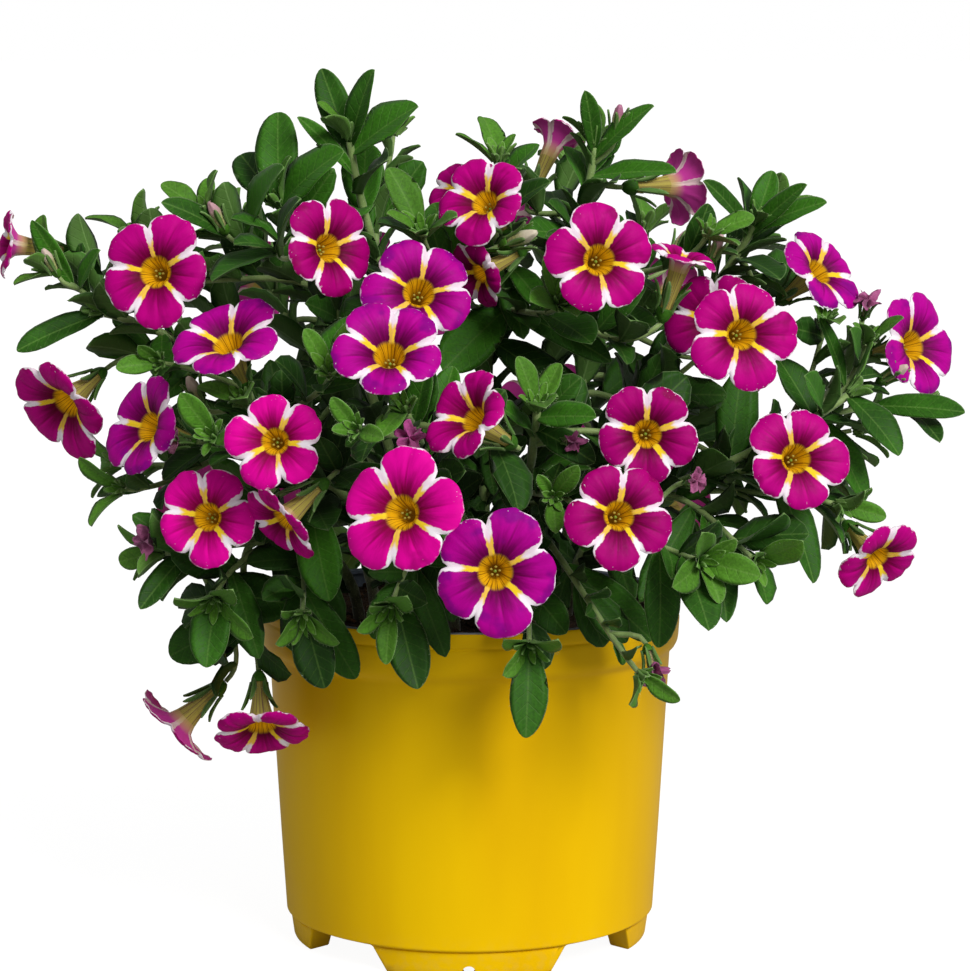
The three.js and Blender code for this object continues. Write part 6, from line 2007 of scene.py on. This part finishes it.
class Finishes:
    """Materials by name, each made when it is first asked for."""

    def __init__(self) -> None:
        """Builds the shared effects."""
        self.effects = Effects()
        self.made: dict[str, bpy.types.Material] = {}

    def get(self, name: str) -> bpy.types.Material:
        """Material of a finish, dressed by the method named after the finish, or plainly mottled."""
        if name not in self.made:
            material = self.made[name] = bpy.data.materials.new(name)
            material.use_nodes = True
            graph = Graph(material.node_tree)
            kind, _, tone = name.partition("_")
            if kind in MOTTLED:
                self.dress_mottled(graph, MOTTLED[kind])
            else:
                getattr(self, f"dress_{kind}")(graph, *([Tone(tone)] if tone else []))
        return self.made[name]

    def patches(self, graph: Graph, coarse: float, fine: float) -> tuple[Wire, Wire]:
        """Coarse and fine patches, so many a metre."""
        placed = graph.use(self.effects.patches, Coarse=coarse, Fine=fine)
        return placed["Coarse"], placed["Fine"]

    def dress_petal(self, graph: Graph, tone: Tone) -> None:
        """Velvety petals with a pale star, a veined golden throat and a greenish tube; the throat and the backs glow
        with painted light.
        """
        look = PETALS[tone]
        share, tube, middle = graph.values("share", "tube", "middle")
        stripe, rim, turned = graph.values("stripe", "rim", "back")
        coarse, fine = self.patches(graph, 170.0, 1300.0)
        star = graph.use(self.effects.star, Share=share, Stripe=stripe, Rim=rim, Inner_Width=0.66,
                         Outer_Width=look.stripe, Ragged=0.85)
        streaks, rays = (graph.use(self.effects.streaks, Rays=count)["Streaks"] for count in (6.0, 16.0))

        face = graph.mix((share + (streaks - 0.5) * 0.5).step(0.0, 0.74), look.deep, look.face)
        bare = 1.0 - 0.5 * look.blotched
        covered = (coarse + share * 0.3).step(bare - 0.02, bare + 0.15)
        face = graph.mix(covered * 0.85, face, look.blotch)
        face = graph.mix(1.0, face, streaks.step(0.3, 0.7, 0.9, 1.06), "MULTIPLY")
        # painted shade: the crease along each petal's middle is drawn in the deep colour
        crease = middle.step(0.42, 0.08) * share.step(1.0, 0.35, 0.0, 0.5)
        face = graph.mix(crease, face, look.deep)
        flecks = fine.step(0.7, 0.76) * rim.step(2.6, 0.2)
        face = graph.mix(flecks * 0.7, face, look.pale)
        ray = graph.mix(star["Yellow"], look.pale, look.yellow)
        ray = graph.mix(streaks.step(0.35, 0.65, 0.25, 0.0), ray, look.back)
        face = graph.mix(star["Pale"], face, ray)
        throat = graph.mix(rays.step(0.5, 0.6, 0.0, 0.85), look.throat, look.throat_vein)
        throat = graph.mix(share.step(-0.1, -0.8, 0.0, 0.8), throat, look.throat_vein)
        face = graph.mix(share.step(0.12, 0.04), face, throat)

        back = graph.mix(star["Pale"] * 0.7, look.back, look.back_stripe)
        back = graph.mix(share.step(0.26, 0.0, 0.0, 0.8), back, look.back_heart)
        sheath = graph.mix(rays.step(0.5, 0.6, 0.0, 0.8), look.tube, look.tube_vein)
        back = graph.mix(tube.step(0.0, 0.05), back, sheath)

        # painted light: the throat glows in its own gold, and the petals' backs glow faintly as if lit through
        painted_throat_glow = share.step(0.1, -0.05) * (1.0 - turned)
        painted_back_glow = graph.mix(turned * 0.25, (0.0, 0.0, 0.0), back)
        graph.finish(Base_Color=graph.mix(turned, face, back), Roughness=fine.step(0.3, 0.7, 0.46, 0.6),
                     Normal=graph.bump(streaks + fine * 0.5, 0.14, 0.0005), Specular_IOR_Level=0.05,
                     Emission_Color=graph.mix(painted_throat_glow, painted_back_glow, throat), Emission_Strength=0.3)

    def dress_leaf(self, graph: Graph) -> None:
        """Matt green with a paler rib, faint side veins and a downy margin; young leaves are lighter."""
        look = LeafFinish()
        rib, along, edge = graph.values("rib", "along", "edge")
        youth, under, tone, dark = graph.values("youth", "under", "tint", "dark")
        veins = graph.use(self.effects.veins, Rib=rib, Along=along, Edge=edge)
        coarse, fine = self.patches(graph, 90.0, 1500.0)
        top = graph.mix((coarse * 0.6 + tone * 0.5).step(0.3, 0.85), look.old, look.old_light)
        top = graph.mix(youth.step(0.25, 1.0), top, look.young)
        top = graph.mix(veins["Veins"] * 0.13, top, look.rib)
        top = graph.mix(veins["Rib"] * 0.32, top, look.rib)
        top = graph.mix(veins["Margin"] * 0.6, top, look.margin)
        top = graph.mix(1.0, top, fine.step(0.3, 0.7, 0.82, 1.15), "MULTIPLY")
        lower = graph.mix(0.45, graph.mix(veins["Rib"] * 0.6, look.under, look.margin), top)
        # painted shade: leaves inside the plant and low on it are drawn darker, towards the shaded colour
        colour = graph.mix(dark * 0.6, graph.mix(under, top, lower), look.shaded)
        graph.finish(Base_Color=colour, Roughness=fine.step(0.25, 0.75, 0.5, 0.68),
                     Normal=graph.bump(fine * 0.5 - veins["Veins"], 0.4, 0.0003), Sheen_Weight=0.03,
                     Sheen_Roughness=0.5, Specular_IOR_Level=0.16)

    def dress_shoot(self, graph: Graph) -> None:
        """Downy light green, turning dark brown near the soil: woody bark, drawn darker also as painted shade under
        the foliage.
        """
        coarse, fine = self.patches(graph, 200.0, 2200.0)
        green = graph.mix(coarse.step(0.3, 0.7), "6A8540", "8AA35C")
        colour = graph.mix(graph.values("woody")[0].step(0.1, 1.0), green, "3E3A22")
        colour = graph.mix(fine.step(0.55, 0.75, 0.0, 0.4), colour, "A9BC84")
        graph.finish(Base_Color=colour, Normal=graph.bump(fine, 0.4, 0.0003), Roughness=0.6, Sheen_Weight=0.3,
                     Sheen_Roughness=0.5)

    def dress_mottled(self, graph: Graph, look: MottledFinish) -> None:
        """Two colours in soft patches."""
        patches = graph.noise(graph.place(), look.patches)
        graph.finish(Base_Color=graph.mix(patches, look.first, look.second), Roughness=look.roughness)

    def dress_bud(self, graph: Graph) -> None:
        """Bud: pale green below, with brownish veins, turning purple or whitish towards the tip."""
        _, fine = self.patches(graph, 300.0, 1500.0)
        along, purple = graph.values("along", "purple")
        body = graph.mix(fine.step(0.5, 0.65, 0.0, 0.5), "A9AE66", "6A4A3A")
        colour = graph.mix(along.step(0.35, 0.75), body, graph.mix(purple, "D8D2B4", "A01478"))
        graph.finish(Base_Color=colour, Normal=graph.bump(fine, 0.3, 0.0003), Roughness=0.6, Sheen_Weight=0.2)

    def dress_spent(self, graph: Graph) -> None:
        """Spent flower: dull pinkish purple, crinkled, with brown veins and a straw-coloured tube."""
        coarse, fine = self.patches(graph, 350.0, 1500.0)
        along, purple = graph.values("along", "purple")
        limb = graph.mix(coarse.step(0.45, 0.6, 0.0, 0.6), graph.mix(purple, "A87088", "A82C80"), "5C1C40")
        tube = graph.mix(fine.step(0.45, 0.6, 0.0, 0.7), "A89A62", "5E4434")
        graph.finish(Base_Color=graph.mix(along.step(0.4, 0.62), tube, limb),
                     Normal=graph.bump(fine, 0.6, 0.0005), Roughness=0.75, Sheen_Weight=0.15)

    def dress_pot(self, graph: Graph) -> None:
        """Moulded plastic, yellow outside and grey inside, with faint flow marks and some dust low down."""
        look = PotFinish()
        _, fine = self.patches(graph, 18.0, 420.0)
        flow = graph.drawn_out((26.0, 26.0, 5.0), 3.0)
        dust = graph.split(graph.place())[2].step(0.014, 0.0) * fine.step(0.4, 0.65)
        yellow = graph.mix(flow.step(0.3, 0.7), look.outside, look.outside_deep)
        yellow = graph.mix(dust * 0.1, yellow, look.dust)
        grey = graph.mix(fine.step(0.4, 0.6, 0.0, 0.5), look.inside, look.inside_deep)
        colour = graph.mix(graph.values("inside")[0].step(0.4, 0.6), yellow, grey)
        height = flow + graph.noise(graph.place(), 2600.0, 1.0) * 0.1
        graph.finish(Base_Color=colour, Roughness=flow.step(0.3, 0.7, 0.3, 0.4) + dust * 0.2,
                     Normal=graph.bump(height, 0.12, 0.0006), Specular_IOR_Level=0.06, Coat_Weight=0.02,
                     Coat_Roughness=0.25)

    def dress_soil(self, graph: Graph) -> None:
        """Dark moist peat with paler fibres and crumbs of many browns."""
        coarse, fine = self.patches(graph, 260.0, 1600.0)
        base = graph.mix(coarse.step(0.3, 0.7), "20160F", "3C2A1C")
        crumb = graph.mix(graph.values("tone")[0].step(0.5, 1.0), base, "5E4630")
        fibre = graph.drawn_out((2400.0, 500.0, 1600.0), 2.0)
        graph.finish(Base_Color=graph.mix(fibre.step(0.62, 0.7, 0.0, 0.6), crumb, "7A6040"),
                     Normal=graph.bump(coarse + fine * 0.8, 0.9, 0.0015), Roughness=0.95,
                     Specular_IOR_Level=0.2)

    def dress_floor(self, graph: Graph) -> None:
        """Plain pale studio floor that shows nearly white, and lights the plant from below less strongly."""
        seen = graph.node("ShaderNodeLightPath", (), "Is Camera Ray")
        plain = graph.mix(graph.noise(graph.place(), 60.0), (0.36, 0.36, 0.36), (0.4, 0.4, 0.4))
        graph.finish(Base_Color=graph.mix(seen, plain, (0.12, 0.12, 0.12)), Emission_Color=(1.0, 1.0, 1.0),
                     Emission_Strength=seen.step(0.0, 1.0, 0.05, 0.95), Roughness=0.8, Specular_IOR_Level=0.1)


# ------------------------------------------------------------------ studio

@dataclass(frozen=True)
class Studio:
    """Camera, light and floor. Lengths in metres."""

    camera: tuple[float, float, float] = (0.0044, -0.945, 0.2596)
    pitch: float = 7.88                      # degrees below level
    lens: float = 124.98
    sensor: float = 36.0
    surroundings: float = 0.35               # brightness that lights the plant
    backdrop: float = 1.0                    # brightness that shows behind it
    sun_power: float = 3.0
    sun_softness: float = 28.0               # degrees
    sun_round: float = 33.0                  # degrees round from the front to the right
    sun_height: float = 37.0                 # degrees above level
    floor_size: float = 40.0

    def build(self, finishes: Finishes) -> None:
        """Sets up all three."""
        self.place_camera()
        self.light_world()
        self.place_lamps()
        self.lay_floor(finishes)

    def place_camera(self) -> None:
        """Camera in front of the plant, looking slightly down."""
        data = bpy.data.cameras.new("camera")
        data.lens = self.lens
        data.sensor_width = self.sensor
        data.clip_end = 50.0
        camera = bpy.data.objects.new("camera", data)
        camera.location = self.camera
        camera.rotation_euler = (math.radians(90 - self.pitch), 0.0, 0.0)
        bpy.context.scene.collection.objects.link(camera)
        bpy.context.scene.camera = camera

    def light_world(self) -> None:
        """Even surroundings, white behind the plant, that light it less strongly, and a plain transform."""
        world = bpy.data.worlds.new("studio")
        world.use_nodes = True
        graph = Graph(world.node_tree)
        background = world.node_tree.nodes["Background"]
        background.inputs["Color"].default_value = (1.0, 1.0, 1.0, 1.0)
        seen = graph.node("ShaderNodeLightPath", (), "Is Camera Ray")
        graph.feed(background.inputs["Strength"], seen.step(0.0, 1.0, self.surroundings, self.backdrop))
        bpy.context.scene.world = world
        bpy.context.scene.view_settings.view_transform = "Standard"
        bpy.context.scene.view_settings.look = "None"

    def place_lamps(self) -> None:
        """One large soft light, high in front on the right."""
        data = bpy.data.lights.new("key", "SUN")
        data.energy = self.sun_power
        data.angle = math.radians(self.sun_softness)
        lamp = bpy.data.objects.new("key", data)
        lamp.rotation_euler = (math.radians(90 - self.sun_height), 0.0, math.radians(self.sun_round))
        bpy.context.scene.collection.objects.link(lamp)

    def lay_floor(self, finishes: Finishes) -> None:
        """Large square floor at ground level."""
        half = self.floor_size / 2
        mesh = bpy.data.meshes.new("floor")
        corners = [(-half, -half, 0), (half, -half, 0), (half, half, 0), (-half, half, 0)]
        mesh.from_pydata(corners, [], [(0, 1, 2, 3)])
        mesh.materials.append(finishes.get("floor"))
        floor = bpy.data.objects.new("floor", mesh)
        bpy.context.scene.collection.objects.link(floor)
        floor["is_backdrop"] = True


# ------------------------------------------------------------------ the whole

def write_sizes(before: Sequence, after: Sequence) -> None:
    """Puts the box of the CAD model and that of the dressed model into a dict, which is then dropped."""
    plain = {name: [list(map(float, corner)) for corner in box] for name, box in (("cad", before), ("visual", after))}


def main() -> None:
    """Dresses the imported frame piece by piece."""
    logging.basicConfig(level=logging.INFO, format="%(name)s %(message)s")
    finishes = Finishes()
    Studio().build(finishes)
    habit = Habit()
    PotDress().build(finishes)
    SoilDress().build(finishes)
    sprigs = Sprig.every()
    for name in STEMS:
        stem = Piece(f"plant_{name}", "leaf", (f"stem_{name}",))
        stem.add(*StemDress(habit, name).patches())
        for sprig in sprigs:
            if sprig.stem == name:
                stem.add(*sprig.stalk_patches(habit))
        stem.make(finishes)
    for seed, bloom in enumerate(habit.blooms):
        corolla = Piece(f"corolla_{bloom.name[-2:]}", "petal", (bloom.name,))
        corolla.add(*Corolla(bloom, seed).patches())
        corolla.make(finishes)
    for sprig in sprigs:
        piece = Piece(sprig.name, "petal", ())
        piece.add(*sprig.patches())
        piece.make(finishes)
    write_sizes(CAD_BOX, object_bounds())


if __name__ == "__main__":
    main()
